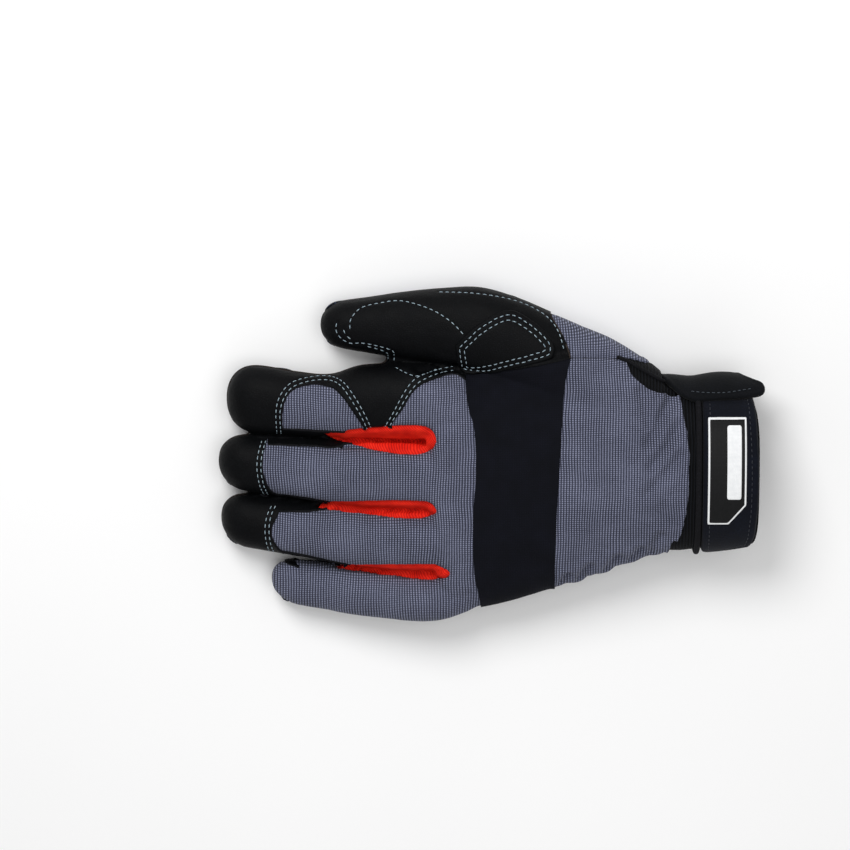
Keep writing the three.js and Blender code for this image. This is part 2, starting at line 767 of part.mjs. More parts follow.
const flapLayer = wristForm(flapTop, cuffEdge + flapTail).subtract(
  wristForm(flapBase, cuffEdge + flapTail + 1),
);
const flapOutline = [
  ...smooth(
    [
      [slitStart + 14, 0.6 * palmWidth],
      [slitStart + 18, 0.45 * palmWidth],
      [cuffSeam, flapEdge],
      [strapFront + 8, flapEdge - 2],
      [cuffEdge, flapEdge - 1],
      [cuffEdge + flapTail, flapEdge + 3],
    ],
    10,
  ),
  corner(cuffEdge + flapTail, 0.6 * palmWidth),
];
const flapUnder = 0.2 * palmDepth; // how low the flap reaches down the thumb side
const besideThumb = handForm(seamGap, 0, skin);
keep(
  "closure_flap",
  flapLayer.intersect(column(flapOutline, 0, flapUnder, reach)).subtract(besideThumb),
  neopreneNavy,
);

const glove = new THREE.Group();
glove.name = "mechanic_glove";
for (const mesh of meshes) glove.add(mesh);

export default glove;
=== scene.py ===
"""Left mechanic glove, palm down: sewn panels, seams, stitches and closure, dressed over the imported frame."""

import math

import bpy
import numpy as np
from mathutils import Matrix, Vector, noise
from mathutils.bvhtree import BVHTree
from mathutils.kdtree import KDTree

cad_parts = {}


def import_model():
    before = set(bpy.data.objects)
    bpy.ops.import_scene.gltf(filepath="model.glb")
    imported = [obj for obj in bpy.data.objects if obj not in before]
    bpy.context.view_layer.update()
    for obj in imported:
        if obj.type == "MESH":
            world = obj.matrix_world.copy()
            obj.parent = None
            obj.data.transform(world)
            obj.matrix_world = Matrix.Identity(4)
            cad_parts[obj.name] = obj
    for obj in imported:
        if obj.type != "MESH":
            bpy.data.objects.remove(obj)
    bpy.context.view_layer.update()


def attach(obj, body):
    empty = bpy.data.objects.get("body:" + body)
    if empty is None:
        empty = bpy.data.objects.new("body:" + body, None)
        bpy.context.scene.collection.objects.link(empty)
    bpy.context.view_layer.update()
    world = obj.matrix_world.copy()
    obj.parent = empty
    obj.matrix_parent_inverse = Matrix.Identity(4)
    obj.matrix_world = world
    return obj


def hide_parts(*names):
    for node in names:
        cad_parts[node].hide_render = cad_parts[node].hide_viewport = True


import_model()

MM = 0.001

# Sizes in millimetres, as in the part's source
WEB_LINE = 35.0
CUFF_EDGE = 119.0
PALM_WIDTH = 115.0
PALM_DEPTH = 44.0
THUMB_ROOT = 75.0
THUMB_REACH = 83.5
THUMB_WIDTH = 54.0
THUMB_DEPTH = 40.0
THUMB_ROUND = 13.0
WEB_ROUND = 9.0
WEB_REACH = 53.0
TIP_ROUND = 14.0
FINGER_ROOT = 4.0
BAND_BACK = 26.0
CUFF_SEAM = 85.0
CUFF_CURVE = 3.6
GUSSET_FULL = 4.5
SLIT_START = 54.0
STRAP_FRONT = 93.0
STRAP_BACK = 118.0
PATCH_TOP = 1.3
STRAP_TOP = 2.5
TIP_PATCH = 34.0
TIP_INSET = 2.5
PALM_PATCH_MARGIN = 8.0
HEEL_PATCH_OVERLAP = 2.0
HEEL_PATCH_MARGIN = 17.0
BULGE = 2.25
BLUNTNESS = 2.3

# The hand without its thumb: share of the way from the webs to the cuff, then centre and width as shares of
# the palm's width, and middle height and thickness as shares of its depth.
PALM_ROWS = (
    (0.0, 0.075, 0.78, 0.466, 0.8),
    (0.06, -0.03, 0.985, 0.466, 0.82),
    (0.11, -0.037, 1.0, 0.466, 0.84),
    (0.23, -0.021, 0.981, 0.466, 0.89),
    (0.38, 0.019, 0.936, 0.477, 0.955),
    (0.52, 0.043, 0.852, 0.489, 1.02),
    (0.64, 0.052, 0.745, 0.511, 1.03),
    (0.77, 0.039, 0.635, 0.534, 1.0),
    (1.0, 0.045, 0.588, 0.545, 0.977),
)
# The thumb, from its root to its tip, in the same columns, with widths and depths as shares of its own.
THUMB_ROWS = (
    (0.0, 0.22, 0.8, 0.53, 0.95),
    (0.126, 0.33, 1.0, 0.52, 1.0),
    (0.24, 0.4, 1.0, 0.475, 0.96),
    (0.328, 0.47, 0.926, 0.455, 0.92),
    (0.416, 0.539, 0.852, 0.425, 0.875),
    (0.53, 0.604, 0.76, 0.39, 0.81),
    (0.65, 0.624, 0.65, 0.36, 0.74),
    (0.763, 0.625, 0.57, 0.33, 0.68),
    (0.864, 0.624, 0.475, 0.295, 0.6),
    (1.0, 0.624, 0.36, 0.25, 0.5),
)
# How a finger thins and dips from the knuckle line to its tip: middle height and thickness.
FINGER_DROP = (
    (0.0, 0.58, 0.84),
    (0.25, 0.59, 1.0),
    (0.47, 0.545, 0.9),
    (0.62, 0.49, 0.82),
    (0.78, 0.395, 0.75),
    (1.0, 0.31, 0.68),
)
# Each finger's reach, width and depth, and its centre line and width along it.
FINGERS = {
    "index": (127.0, 34.4, 34.0, (
        (0.0, 0.29, 0.9), (0.25, 0.324, 1.0), (0.5, 0.324, 0.97), (0.62, 0.302, 0.84),
        (0.74, 0.306, 0.86), (0.88, 0.32, 0.92), (1.0, 0.321, 0.9),
    )),
    "middle": (131.0, 32.6, 34.0, (
        (0.0, 0.03, 0.9), (0.25, 0.025, 1.0), (0.5, 0.028, 0.95), (0.75, 0.046, 0.87), (1.0, 0.062, 0.78),
    )),
    "ring": (130.0, 29.2, 34.0, (
        (0.0, -0.23, 0.9), (0.25, -0.243, 1.0), (0.5, -0.238, 0.95), (0.75, -0.206, 0.9), (1.0, -0.172, 0.86),
    )),
    "pinky": (107.0, 25.0, 29.0, (
        (0.0, -0.4, 0.84), (0.25, -0.478, 1.0), (0.5, -0.48, 0.97), (0.75, -0.459, 0.92), (1.0, -0.43, 0.84),
    )),
}


def sample(rows, column, at):
    """A table's value at one place, on a smooth curve through its rows."""
    i = 0
    while i < len(rows) - 2 and at > rows[i + 1][0]:
        i += 1
    p, q = rows[i], rows[i + 1]
    before = rows[max(i - 1, 0)]
    after = rows[min(i + 2, len(rows) - 1)]
    span = q[0] - p[0]
    t = min(max((at - p[0]) / span, 0.0), 1.0)
    slope_in = (q[column] - before[column]) / (q[0] - before[0]) * span
    slope_out = (after[column] - p[column]) / (after[0] - p[0]) * span
    return (
        (2 * t**3 - 3 * t**2 + 1) * p[column]
        + (t**3 - 2 * t**2 + t) * slope_in
        + (3 * t**2 - 2 * t**3) * q[column]
        + (t**3 - t**2) * slope_out
    )


def palm_section(x):
    """Centre, half width, middle height and half thickness of the hand at a place along X."""
    at = (x + WEB_LINE) / (WEB_LINE + CUFF_EDGE)
    return (
        sample(PALM_ROWS, 1, at) * PALM_WIDTH,
        sample(PALM_ROWS, 2, at) * PALM_WIDTH / 2,
        sample(PALM_ROWS, 3, at) * PALM_DEPTH,
        sample(PALM_ROWS, 4, at) * PALM_DEPTH / 2,
    )


def thumb_section(x):
    at = (THUMB_ROOT - x) / (THUMB_ROOT + THUMB_REACH)
    return (
        sample(THUMB_ROWS, 1, at) * PALM_WIDTH,
        sample(THUMB_ROWS, 2, at) * THUMB_WIDTH / 2,
        sample(THUMB_ROWS, 3, at) * THUMB_DEPTH,
        sample(THUMB_ROWS, 4, at) * THUMB_DEPTH / 2,
    )


def finger_section(name):
    reach, width, depth, rows = FINGERS[name]

    def section(x):
        at = -x / reach
        return (
            sample(rows, 1, at) * PALM_WIDTH,
            sample(rows, 2, at) * width / 2,
            sample(FINGER_DROP, 1, at) * depth,
            sample(FINGER_DROP, 2, at) * depth / 2,
        )

    return section


def tube(section, round_x, flat_x, rounding, grow=0.0, sides=72, step=1.6):
    """Points and faces of a tube from its round end to its flat end, its skin moved out by grow."""
    end = round_x - grow
    turn = rounding + grow
    ring_x = [end + turn * s * s for s in np.linspace(0.05, 1.0, 12)]
    ring_x += list(np.linspace(end + turn, flat_x, max(2, int((flat_x - end - turn) / step)))[1:])
    angles = np.linspace(0.0, 2 * math.pi, sides, endpoint=False)
    c, d = np.cos(angles), np.sin(angles)
    across = np.sign(c) * np.abs(c) ** (2 / BULGE)
    up = np.sign(d) * np.abs(d) ** (2 / BULGE)
    points = []
    for x in ring_x:
        y0, a, z0, b = section(max(x, round_x))
        inside = min((x - end) / turn, 1.0)
        shrink = (1 - (1 - inside) ** BLUNTNESS) ** (1 / BLUNTNESS)
        ring = np.empty((sides, 3))
        ring[:, 0] = x
        ring[:, 1] = y0 + across * (a + grow) * shrink
        ring[:, 2] = z0 + up * (b + grow) * shrink
        points.append(ring)
    first = points[0].mean(axis=0)
    first[0] = end
    last = points[-1].mean(axis=0)
    points = np.vstack(points + [first[None], last[None]])
    rings = len(ring_x)
    faces = []
    for i in range(rings - 1):
        for j in range(sides):
            k = (j + 1) % sides
            faces.append((i * sides + j, i * sides + k, (i + 1) * sides + k, (i + 1) * sides + j))
    for j in range(sides):
        k = (j + 1) % sides
        faces.append((rings * sides, k, j))
        faces.append((rings * sides + 1, (rings - 1) * sides + j, (rings - 1) * sides + k))
    return points, faces


def smooth_line(points, count):
    """A smooth line through a few chosen points, in count steps."""
    pts = np.array(points, float)
    out = []
    for s in np.linspace(0, len(pts) - 1, count + 1):
        i = min(int(s), len(pts) - 2)
        t = s - i
        p1, p2 = pts[i], pts[i + 1]
        p0 = pts[max(i - 1, 0)]
        p3 = pts[min(i + 2, len(pts) - 1)]
        v0, v1 = (p2 - p0) / 2, (p3 - p1) / 2
        out.append(
            (2 * p1 - 2 * p2 + v0 + v1) * t**3 + (-3 * p1 + 3 * p2 - 2 * v0 - v1) * t**2 + v0 * t + p1
        )
    return np.array(out)


def widths(points):
    """Plan points with Y given as a share of the palm's width."""
    return [(x, y * PALM_WIDTH) for x, y in points]


# Camera: the photograph looks down on the back of the hand, leaning over it from the thumb side.
LEAN = math.radians(12)
AIM = Vector((-34.8, 26.1, 20.0)) * MM
LENS = 200
CAMERA_AWAY = 2191 * MM
back = Vector((0, math.sin(LEAN), math.cos(LEAN)))
up = Vector((0, math.cos(LEAN), -math.sin(LEAN)))
camera_data = bpy.data.cameras.new("camera")
camera_data.lens = LENS
camera_data.sensor_width = 36
camera_data.clip_start = 0.05
camera = bpy.data.objects.new("camera", camera_data)
turned = Matrix((Vector((1, 0, 0)), up, back)).transposed().to_4x4()
camera.matrix_world = Matrix.Translation(AIM + back * CAMERA_AWAY) @ turned
bpy.context.scene.collection.objects.link(camera)
bpy.context.scene.camera = camera


def area_light(name, place, aim, size, power, colour=(1, 1, 1)):
    data = bpy.data.lights.new(name, "AREA")
    data.shape = "DISK"
    data.size = size
    data.energy = power
    data.color = colour
    lamp = bpy.data.objects.new(name, data)
    lamp.location = place
    lamp.rotation_euler = (Vector(aim) - Vector(place)).to_track_quat("-Z", "Y").to_euler()
    bpy.context.scene.collection.objects.link(lamp)


area_light("window", (-0.35, 0.75, 0.95), (0, 0, 0.02), 0.6, 9)
area_light("overhead", (0.25, 0.1, 1.1), (0, 0, 0.02), 0.9, 3.2)
area_light("low_fill", (0.1, -0.9, 0.45), (0, 0, 0.02), 0.8, 1.2)
world = bpy.data.worlds.new("studio")
world.use_nodes = True
world.node_tree.nodes["Background"].inputs["Color"].default_value = (1, 1, 1, 1)
world.node_tree.nodes["Background"].inputs["Strength"].default_value = 0.38
bpy.context.scene.world = world
bpy.context.scene.view_settings.view_transform = "Standard"


def mesh_object(name, points, faces, shade=True):
    """A mesh piece from points in millimetres."""
    mesh = bpy.data.meshes.new(name)
    corners = faces if isinstance(faces, list) else faces.tolist()
    mesh.from_pydata((np.asarray(points) * MM).tolist(), [], corners)
    mesh.update()
    if shade:
        mesh.shade_smooth()
    piece = bpy.data.objects.new(name, mesh)
    bpy.context.scene.collection.objects.link(piece)
    return piece


def triangles_of(piece):
    """Points in millimetres and triangles of a piece with its modifiers applied."""
    graph = bpy.context.evaluated_depsgraph_get()
    mesh = bpy.data.meshes.new_from_object(piece.evaluated_get(graph))
    mesh.calc_loop_triangles()
    points = np.empty(len(mesh.vertices) * 3)
    mesh.vertices.foreach_get("co", points)
    tris = np.empty(len(mesh.loop_triangles) * 3, np.int32)
    mesh.loop_triangles.foreach_get("vertices", tris)
    bpy.data.meshes.remove(mesh)
    return points.reshape(-1, 3) / MM, tris.reshape(-1, 3)


def normals_of(points, tris):
    a, b, c = points[tris[:, 0]], points[tris[:, 1]], points[tris[:, 2]]
    flat = np.cross(b - a, c - a)
    out = np.zeros_like(points)
    for k in range(3):
        np.add.at(out, tris[:, k], flat)
    return out / np.maximum(np.linalg.norm(out, axis=1, keepdims=True), 1e-9)


def neighbours(tris):
    """Each edge once, as two columns of point numbers."""
    edges = np.sort(np.vstack((tris[:, :2], tris[:, 1:], tris[:, ::2])), axis=1)
    return np.unique(edges, axis=0)


def relax(points, tris, rounds, weight=0.5, back_weight=-0.52):
    """Evens out a surface without shrinking it."""
    edges = neighbours(tris)
    count = np.zeros(len(points))
    np.add.at(count, edges[:, 0], 1)
    np.add.at(count, edges[:, 1], 1)
    for i in range(2 * rounds):
        total = np.zeros_like(points)
        np.add.at(total, edges[:, 0], points[edges[:, 1]])
        np.add.at(total, edges[:, 1], points[edges[:, 0]])
        change = total / np.maximum(count, 1)[:, None] - points
        points = points + change * (weight if i % 2 == 0 else back_weight)
    return points


def cut(points, tris, value, where=None):
    """Splits triangles along the line where a value on their points is nought."""
    value = np.where(np.abs(value) < 0.12, 0.0, value)
    sign = np.sign(value).astype(int)
    busy = np.ones(len(tris), bool) if where is None else where
    low = sign[tris].min(axis=1)
    high = sign[tris].max(axis=1)
    crossing = busy & (low < 0) & (high > 0)
    rest, work = tris[~crossing], tris[crossing]
    if not len(work):
        return points, tris
    edges = np.sort(np.vstack((work[:, [0, 1]], work[:, [1, 2]], work[:, [2, 0]])), axis=1)
    hits = edges[sign[edges[:, 0]] * sign[edges[:, 1]] < 0]
    hits = np.unique(hits, axis=0)
    va, vb = np.abs(value[hits[:, 0]]), np.abs(value[hits[:, 1]])
    t = (va / (va + vb))[:, None]
    added = points[hits[:, 0]] * (1 - t) + points[hits[:, 1]] * t
    number = {(int(a), int(b)): len(points) + i for i, (a, b) in enumerate(hits)}
    made = []
    for a, b, c in work.tolist():
        for _ in range(3):
            ab = number.get((min(a, b), max(a, b)))
            bc = number.get((min(b, c), max(b, c)))
            ca = number.get((min(c, a), max(c, a)))
            if ab is not None and ca is not None:
                made += [(a, ab, ca), (ab, b, c), (ab, c, ca)]
                break
            if sign[a] == 0 and bc is not None:
                made += [(a, b, bc), (a, bc, c)]
                break
            a, b, c = b, c, a
    points = np.vstack((points, added))
    # A triangle whose edge was split by its neighbour alone is split too, so that no gap opens.
    out = np.vstack((rest, np.array(made, np.int32)))
    return points, mend(points, out, number)


def mend(points, tris, number):
    """Splits each triangle that still has a whole edge where its neighbour has two halves."""
    keys = set(number)
    edges = np.sort(np.stack((tris[:, [0, 1]], tris[:, [1, 2]], tris[:, [2, 0]]), axis=1), axis=2)
    coded = edges[:, :, 0].astype(np.int64) * (len(points) + 1) + edges[:, :, 1]
    known = np.array([a * (len(points) + 1) + b for a, b in keys], np.int64)
    open_edge = np.isin(coded, known)
    todo = open_edge.any(axis=1)
    out = [tris[~todo]]
    extra = []
    for a, b, c in tris[todo].tolist():
        for _ in range(3):
            ab = number.get((min(a, b), max(a, b)))
            if ab is not None:
                extra += [(a, ab, c), (ab, b, c)]
                break
            a, b, c = b, c, a
    if extra:
        out.append(np.array(extra, np.int32))
    return np.vstack(out)


def inside_plan(outline, xy):
    """Distance to a closed plan outline, above nought inside it."""
    outline = np.asarray(outline, float)
    nearest = np.full(len(xy), 1e9)
    within = np.zeros(len(xy), bool)
    for p, q in zip(outline, np.roll(outline, -1, axis=0)):
        step = q - p
        t = np.clip(((xy - p) @ step) / max(step @ step, 1e-9), 0, 1)
        away = xy - (p + t[:, None] * step)
        nearest = np.minimum(nearest, np.hypot(away[:, 0], away[:, 1]))
        if p[1] != q[1]:
            spans = (p[1] > xy[:, 1]) != (q[1] > xy[:, 1])
            at = p[0] + (xy[:, 1] - p[1]) * step[0] / step[1]
            within ^= spans & (xy[:, 0] < at)
    return np.where(within, nearest, -nearest)


def web_section(_):
    """The bridge of leather between the thumb and the index finger."""
    return 55.0, 5.5, 12.5, 7.5


# The whole glove as one skin
VOXEL = 0.95
parts = [
    tube(palm_section, -WEB_LINE, CUFF_EDGE + 6, WEB_ROUND, sides=120),
    tube(thumb_section, -THUMB_REACH, THUMB_ROOT, THUMB_ROUND),
    tube(web_section, -WEB_REACH, 0, WEB_ROUND),
]
for name, (reach, _, _, _) in FINGERS.items():
    parts.append(tube(finger_section(name), -reach, FINGER_ROOT, TIP_ROUND))
points = np.vstack([p for p, _ in parts])
faces = []
start = 0
for p, f in parts:
    faces += [tuple(i + start for i in face) for face in f]
    start += len(p)
whole = mesh_object("whole_form", points, faces)
remesh = whole.modifiers.new("one_skin", "REMESH")
remesh.mode = "VOXEL"
remesh.voxel_size = VOXEL * MM
bpy.context.view_layer.update()
skin, tris = triangles_of(whole)
bpy.data.objects.remove(whole)
skin = relax(skin, tris, 14)
# The gusset stands full over the slit, on the thumb side of the wrist.
fullness = GUSSET_FULL * np.exp(-(((skin[:, 0] - 74) / 12) ** 2))
skin[:, 1] += fullness * np.clip((skin[:, 1] - 36) / 10, 0, 1)
# The underside lies on its patches.
skin[:, 2] = np.maximum(skin[:, 2], PATCH_TOP)
base_skin, base_tris = skin, tris

# Heights of the seam between back and palm, along X
SEAM_X = np.array([-150, -128, -92, -33, 46, 124, 160.0])
SEAM_Z = np.array([9.5, 10.2, 12.4, 15.0, 15.8, 17.6, 17.6])
PINKY_SEAM = 4.5  # how much lower it runs round the little finger's tip


def side_seam(points):
    """Height of the seam between back and palm at each point."""
    x, y = points[:, 0], points[:, 1]
    lowered = PINKY_SEAM * np.clip((-40 - x) / 30, 0, 1) * np.clip((-34 - y) / 2, 0, 1)
    lowered += 2.2 * np.clip((-90 - x) / 6, 0, 1) * np.clip((-36 - y) / 2, 0, 1)
    return np.interp(x, SEAM_X, SEAM_Z) - lowered


def thumb_seam(x):
    """Height of the seam along the thumb's outer side, low on the thumb and rising to the wrist."""
    return np.interp(x, [-90, -40, 10, 24], [6.0, 8.5, 11.0, 13.2])


def cuff_end(z):
    """Where the cuff ends along X: a little further out on the back of the wrist than at its sides."""
    return CUFF_EDGE - CUFF_CURVE * np.clip((PALM_DEPTH - z) / 20, 0, 1) ** 1.5


# Lines on the back of the glove, in millimetres from the knuckle line and shares of the palm's width
band_front = smooth_line(widths([
    (-5.5, -0.9), (-8.5, -0.53), (-12, -0.34), (-12.5, -0.1), (-11.1, 0.06), (-12.1, 0.24),
    (-15.5, 0.38), (-21.5, 0.9),
]), 40)
band_back = smooth_line(widths([
    (27, -0.9), (25.5, -0.44), (25.4, -0.2), (27, 0.1), (29, 0.4), (32, 0.54), (38, 0.9),
]), 40)
cuff_line = smooth_line(widths([
    (69, -0.9), (78, -0.27), (82.5, -0.2), (86, 0), (85.5, 0.2), (83, 0.32), (71, 0.9),
]), 40)
thumb_crease = smooth_line(widths([
    (-71, 0.487), (-35, 0.482), (-19.5, 0.452), (0, 0.47), (20, 0.505), (32, 0.53),
]), 30)
slit_lower = smooth_line(widths([
    (32, 0.53), (54.8, 0.527), (60.3, 0.462), (66.8, 0.412), (73.3, 0.386), (80.7, 0.366), (87, 0.35),
]), 36)
slit_upper = smooth_line(widths([(54.8, 0.531), (61.2, 0.519), (68.7, 0.492), (75.2, 0.455), (87, 0.41)]), 24)
thumb_top_line = smooth_line(widths([
    (11, 0.98), (17.5, 0.79), (22.5, 0.695), (28, 0.62), (31, 0.56), (32, 0.53),
]), 40)
thumb_under_line = smooth_line(widths([
    (-89.5, 0.655), (-63.5, 0.655), (-25, 0.665), (26, 0.52), (60, 0.42), (86, 0.3),
]), 40)
index_dome = smooth_line(widths([
    (-100.3, 0.15), (-101, 0.29), (-96.5, 0.378), (-83.8, 0.405), (-74.3, 0.375),
    (-63.5, 0.24), (-59.7, 0.15),
]), 40)
knuckle_edge = smooth_line(widths([
    (-25.5, 0.45), (-38.5, 0.41), (-45.5, 0.32), (-51.5, 0.235), (-53.5, 0.168),
]), 20)
middle_cap = smooth_line(widths([(-106, 0.2), (-109, 0.15), (-110.5, 0.06), (-107, -0.04), (-101, -0.1)]), 20)
ring_cap = smooth_line(widths([
    (-101, -0.08), (-103, -0.13), (-106.6, -0.21), (-102, -0.3), (-93, -0.37),
]), 20)
FAR = 0.9 * PALM_WIDTH


def plan(*lines):
    return np.vstack([np.atleast_2d(np.array(line, float)) for line in lines])


def before(line, limit):
    """The part of a line that lies on the little-finger side of a share of the palm's width."""
    return line[line[:, 1] < limit * PALM_WIDTH]


finger_back = plan(
    before(band_front, 0.452), (-20.5, 0.452 * PALM_WIDTH), knuckle_edge, (-106, 0.178 * PALM_WIDTH),
    middle_cap,
    ring_cap, (-118, -0.32 * PALM_WIDTH), (-118, -FAR),
)
band = plan(before(band_front, 0.44), thumb_crease[thumb_crease[:, 0] > -17.5], before(band_back, 0.52)[::-1])
wrist_back = plan(before(band_back, 0.52), slit_lower, before(cuff_line, 0.36)[::-1])
slit_wedge = plan(
    slit_lower[slit_lower[:, 0] >= SLIT_START], slit_upper[slit_upper[:, 0] > SLIT_START + 3][::-1],
)
thumb_top = plan(
    thumb_top_line, slit_lower[(slit_lower[:, 0] > 34) & (slit_lower[:, 0] < SLIT_START)], slit_upper,
    (CUFF_SEAM + 1, FAR), (11, FAR),
)
thumb_under = plan(thumb_under_line, (CUFF_SEAM + 1, FAR), (-90, FAR))
thumb_all = plan((-90, FAR), (-90, 56), thumb_crease, (CUFF_SEAM, FAR))
cuff = plan(cuff_line, (CUFF_EDGE + 40, FAR), (CUFF_EDGE + 40, -FAR))


DROP_AT = (0, 0.03, 0.2, 0.45, 0.68, 0.84, 0.92, 0.97, 1)
DROP_WIDE = (0.05, 0.16, 0.42, 0.72, 0.96, 1, 0.9, 0.66, 0.14)


def drop(web, middle, wide, long, past):
    """Plan outline of the stretch cloth between two fingers, pointed towards the fingertips."""
    blunt, point = -WEB_LINE + past, -WEB_LINE - long
    y0, y1 = web * PALM_WIDTH, middle * PALM_WIDTH
    share = np.linspace(0, 1, 41)
    width = np.interp(share, DROP_AT, DROP_WIDE) * wide
    x = point + (blunt - point) * share
    y = y1 + (y0 - y1) * share
    return np.vstack((np.column_stack((x, y - width)), np.column_stack((x, y + width))[1:][::-1]))


drops = {
    "fourchette_index_middle": drop(0.19, 0.184, 6.2, 47, 4.2),
    "fourchette_middle_ring": drop(-0.101, -0.104, 3.5, 49, 4.2),
    "fourchette_ring_pinky": drop(-0.365, -0.361, 3.3, 41, 11.5),
}

# Leather that shows between the fingers, in front of the stretch cloth
strips = [
    plan((-108, 17.3), (-76, 17), (-62, 19), (-62, 23), (-76, 24.4), (-108, 24.4)),
    plan((-108, -14.3), (-90, -14), (-78, -12.6), (-78, -11), (-90, -9), (-108, -8)),
    plan(
        (-104, -34.4), (-95, -36.2), (-89, -40.8), (-84, -42), (-69, -42.3), (-69, -40.8), (-84, -37),
        (-104, -33.8),
    ),
]
GAPS = (("index", "middle"), ("middle", "ring"), ("ring", "pinky"))


def gap_line(pair, x):
    """The middle of the gap between two fingers."""
    (y0, a0, _, _), (y1, a1, _, _) = [finger_section(name)(max(x, -FINGERS[name][0])) for name in pair]
    return (y0 - a0 + y1 + a1) / 2


gap_x = np.linspace(-135, 30, 80)
gap_y = [np.array([gap_line(pair, x) for x in gap_x]) for pair in GAPS]

# Every seam is cut into the skin, so that each panel gets a clean edge of its own.
skin, tris = cut(skin, tris, skin[:, 0] - cuff_end(skin[:, 2]))
cuff_middle = skin[tris].mean(axis=1)
tris = tris[cuff_middle[:, 0] < cuff_end(cuff_middle[:, 2])]


def where_above(height):
    corners = skin[tris]
    return corners[:, :, 2].max(axis=1) > side_seam(corners.mean(axis=1)) - height


for outline in drops.values():
    skin, tris = cut(skin, tris, inside_plan(outline, skin[:, :2]))
skin, tris = cut(skin, tris, skin[:, 2] - side_seam(skin))
for outline in (finger_back, band, wrist_back, slit_wedge, thumb_top, plan(index_dome), *strips):
    skin, tris = cut(skin, tris, inside_plan(outline, skin[:, :2]), where_above(1.0))
for line in gap_y:
    near_tips = where_above(1.0) & (skin[tris][:, :, 0].mean(axis=1) < -WEB_LINE)
    skin, tris = cut(skin, tris, skin[:, 1] - np.interp(skin[:, 0], gap_x, line), near_tips)
skin, tris = cut(
    skin, tris, skin[:, 2] - thumb_seam(skin[:, 0]),
    inside_plan(thumb_under, skin[tris].mean(axis=1)[:, :2]) > -2
)
for outline in (thumb_under, thumb_all, cuff):
    skin, tris = cut(skin, tris, inside_plan(outline, skin[:, :2]))
used = np.unique(tris)
order = np.full(len(skin), -1)
order[used] = np.arange(len(used))
skin, tris = skin[used], order[tris]

centre = skin[tris].mean(axis=1)
flat = centre[:, :2]
high = centre[:, 2] > side_seam(centre)


def within(outline):
    return inside_plan(outline, flat) > 0


NAMES = (
    "palm_leather", "index_back_leather", "middle_back_leather", "ring_back_leather", "thumb_leather",
    "finger_back_knit", "index_back_knit", "wrist_back_knit", "thumb_side_knit", "knuckle_band",
    "slit_gore", "cuff_band", "fourchette_index_middle", "fourchette_middle_ring", "fourchette_ring_pinky",
)
panel = np.zeros(len(tris), int)
above_gap = [flat[:, 1] > np.interp(flat[:, 0], gap_x, line) for line in gap_y]
tip_side = high & (flat[:, 0] < -60)
panel[tip_side & above_gap[1]] = NAMES.index("middle_back_leather")
panel[tip_side & ~above_gap[1]] = NAMES.index("ring_back_leather")
panel[high & (flat[:, 0] < 33) & above_gap[0]] = NAMES.index("index_back_leather")
panel[within(thumb_all)] = NAMES.index("thumb_leather")
panel[high & within(finger_back)] = NAMES.index("finger_back_knit")
panel[high & within(plan(index_dome))] = NAMES.index("index_back_knit")
for strip, above, (first, second) in zip(strips, above_gap, GAPS):
    panel[high & within(strip) & above] = NAMES.index(first + "_back_leather")
    if second != "pinky":
        panel[high & within(strip) & ~above] = NAMES.index(second + "_back_leather")
panel[high & within(wrist_back)] = NAMES.index("wrist_back_knit")
panel[high & within(band)] = NAMES.index("knuckle_band")
upper_side = centre[:, 2] > thumb_seam(centre[:, 0])
panel[(upper_side & within(thumb_top)) | (~upper_side & within(thumb_under))] = NAMES.index("thumb_side_knit")
panel[high & within(slit_wedge)] = NAMES.index("slit_gore")
panel[within(cuff)] = NAMES.index("cuff_band")
for name, outline in drops.items():
    panel[within(outline)] = NAMES.index(name)

# Where panels meet: the point numbers along each seam, and which panel lies on the other side
edge_list = np.sort(np.vstack((tris[:, :2], tris[:, 1:], tris[:, ::2])), axis=1)
owner = np.tile(np.arange(len(tris)), 3)
rank = np.lexsort((edge_list[:, 1], edge_list[:, 0]))
edge_list, owner = edge_list[rank], owner[rank]
twin = np.nonzero((edge_list[1:] == edge_list[:-1]).all(axis=1))[0]
seam = twin[panel[owner[twin]] != panel[owner[twin + 1]]]
meets = {}
for i in seam:
    p, q = int(panel[owner[i]]), int(panel[owner[i + 1]])
    for a, b in ((p, q), (q, p)):
        near = meets.setdefault(a, {})
        for vertex in edge_list[i]:
            near[int(vertex)] = b

# What lies on top where two panels are sewn one over the other, lowest first. Panels of one layer, and all
# that meet a finger's side strip or the palm from the back, are sewn face to face and turned, so their seam
# sinks in.
LAYER = {
    "finger_back_knit": 1, "index_back_knit": 1, "wrist_back_knit": 1, "thumb_side_knit": 1, "slit_gore": 0,
    "cuff_band": 0, "knuckle_band": 2, "index_back_leather": 3, "middle_back_leather": 3,
    "ring_back_leather": 3, "thumb_leather": 3, "palm_leather": 3,
}
LAP = 0.45  # how far an upper panel stands over a lower one
TURNED_DEPTH = 1.15


def seam_height(mine, other):
    """Height of a panel's edge over the skin, and the width over which it gets there."""
    if "leather" in mine and "leather" in other:
        return -0.15, 1.0
    if {mine, other} == {"wrist_back_knit", "cuff_band"} and mine == "wrist_back_knit":
        return 1.0, 0.7
    turned = "fourchette" in mine or "fourchette" in other or "palm_leather" in (mine, other)
    if turned or LAYER[mine] == LAYER[other]:
        return -TURNED_DEPTH, 1.3
    if LAYER[mine] > LAYER[other]:
        return LAP, 0.8
    return -0.3, 3.0


def relief(mine, away, other):
    """How far a panel's skin moves out at a distance from its seam with another panel."""
    height, width = seam_height(mine, other)
    rest = LAP * 0.7 if LAYER.get(mine, 0) >= 2 else 0.15
    return rest + (height - rest) * math.exp(-((away / width) ** 2))


def uneven(point, size, seed):
    """Smooth unevenness from -1 to 1, with bumps of that size in millimetres."""
    return noise.noise(Vector(point) / size + Vector((seed, 3.1 * seed, 7.7)))


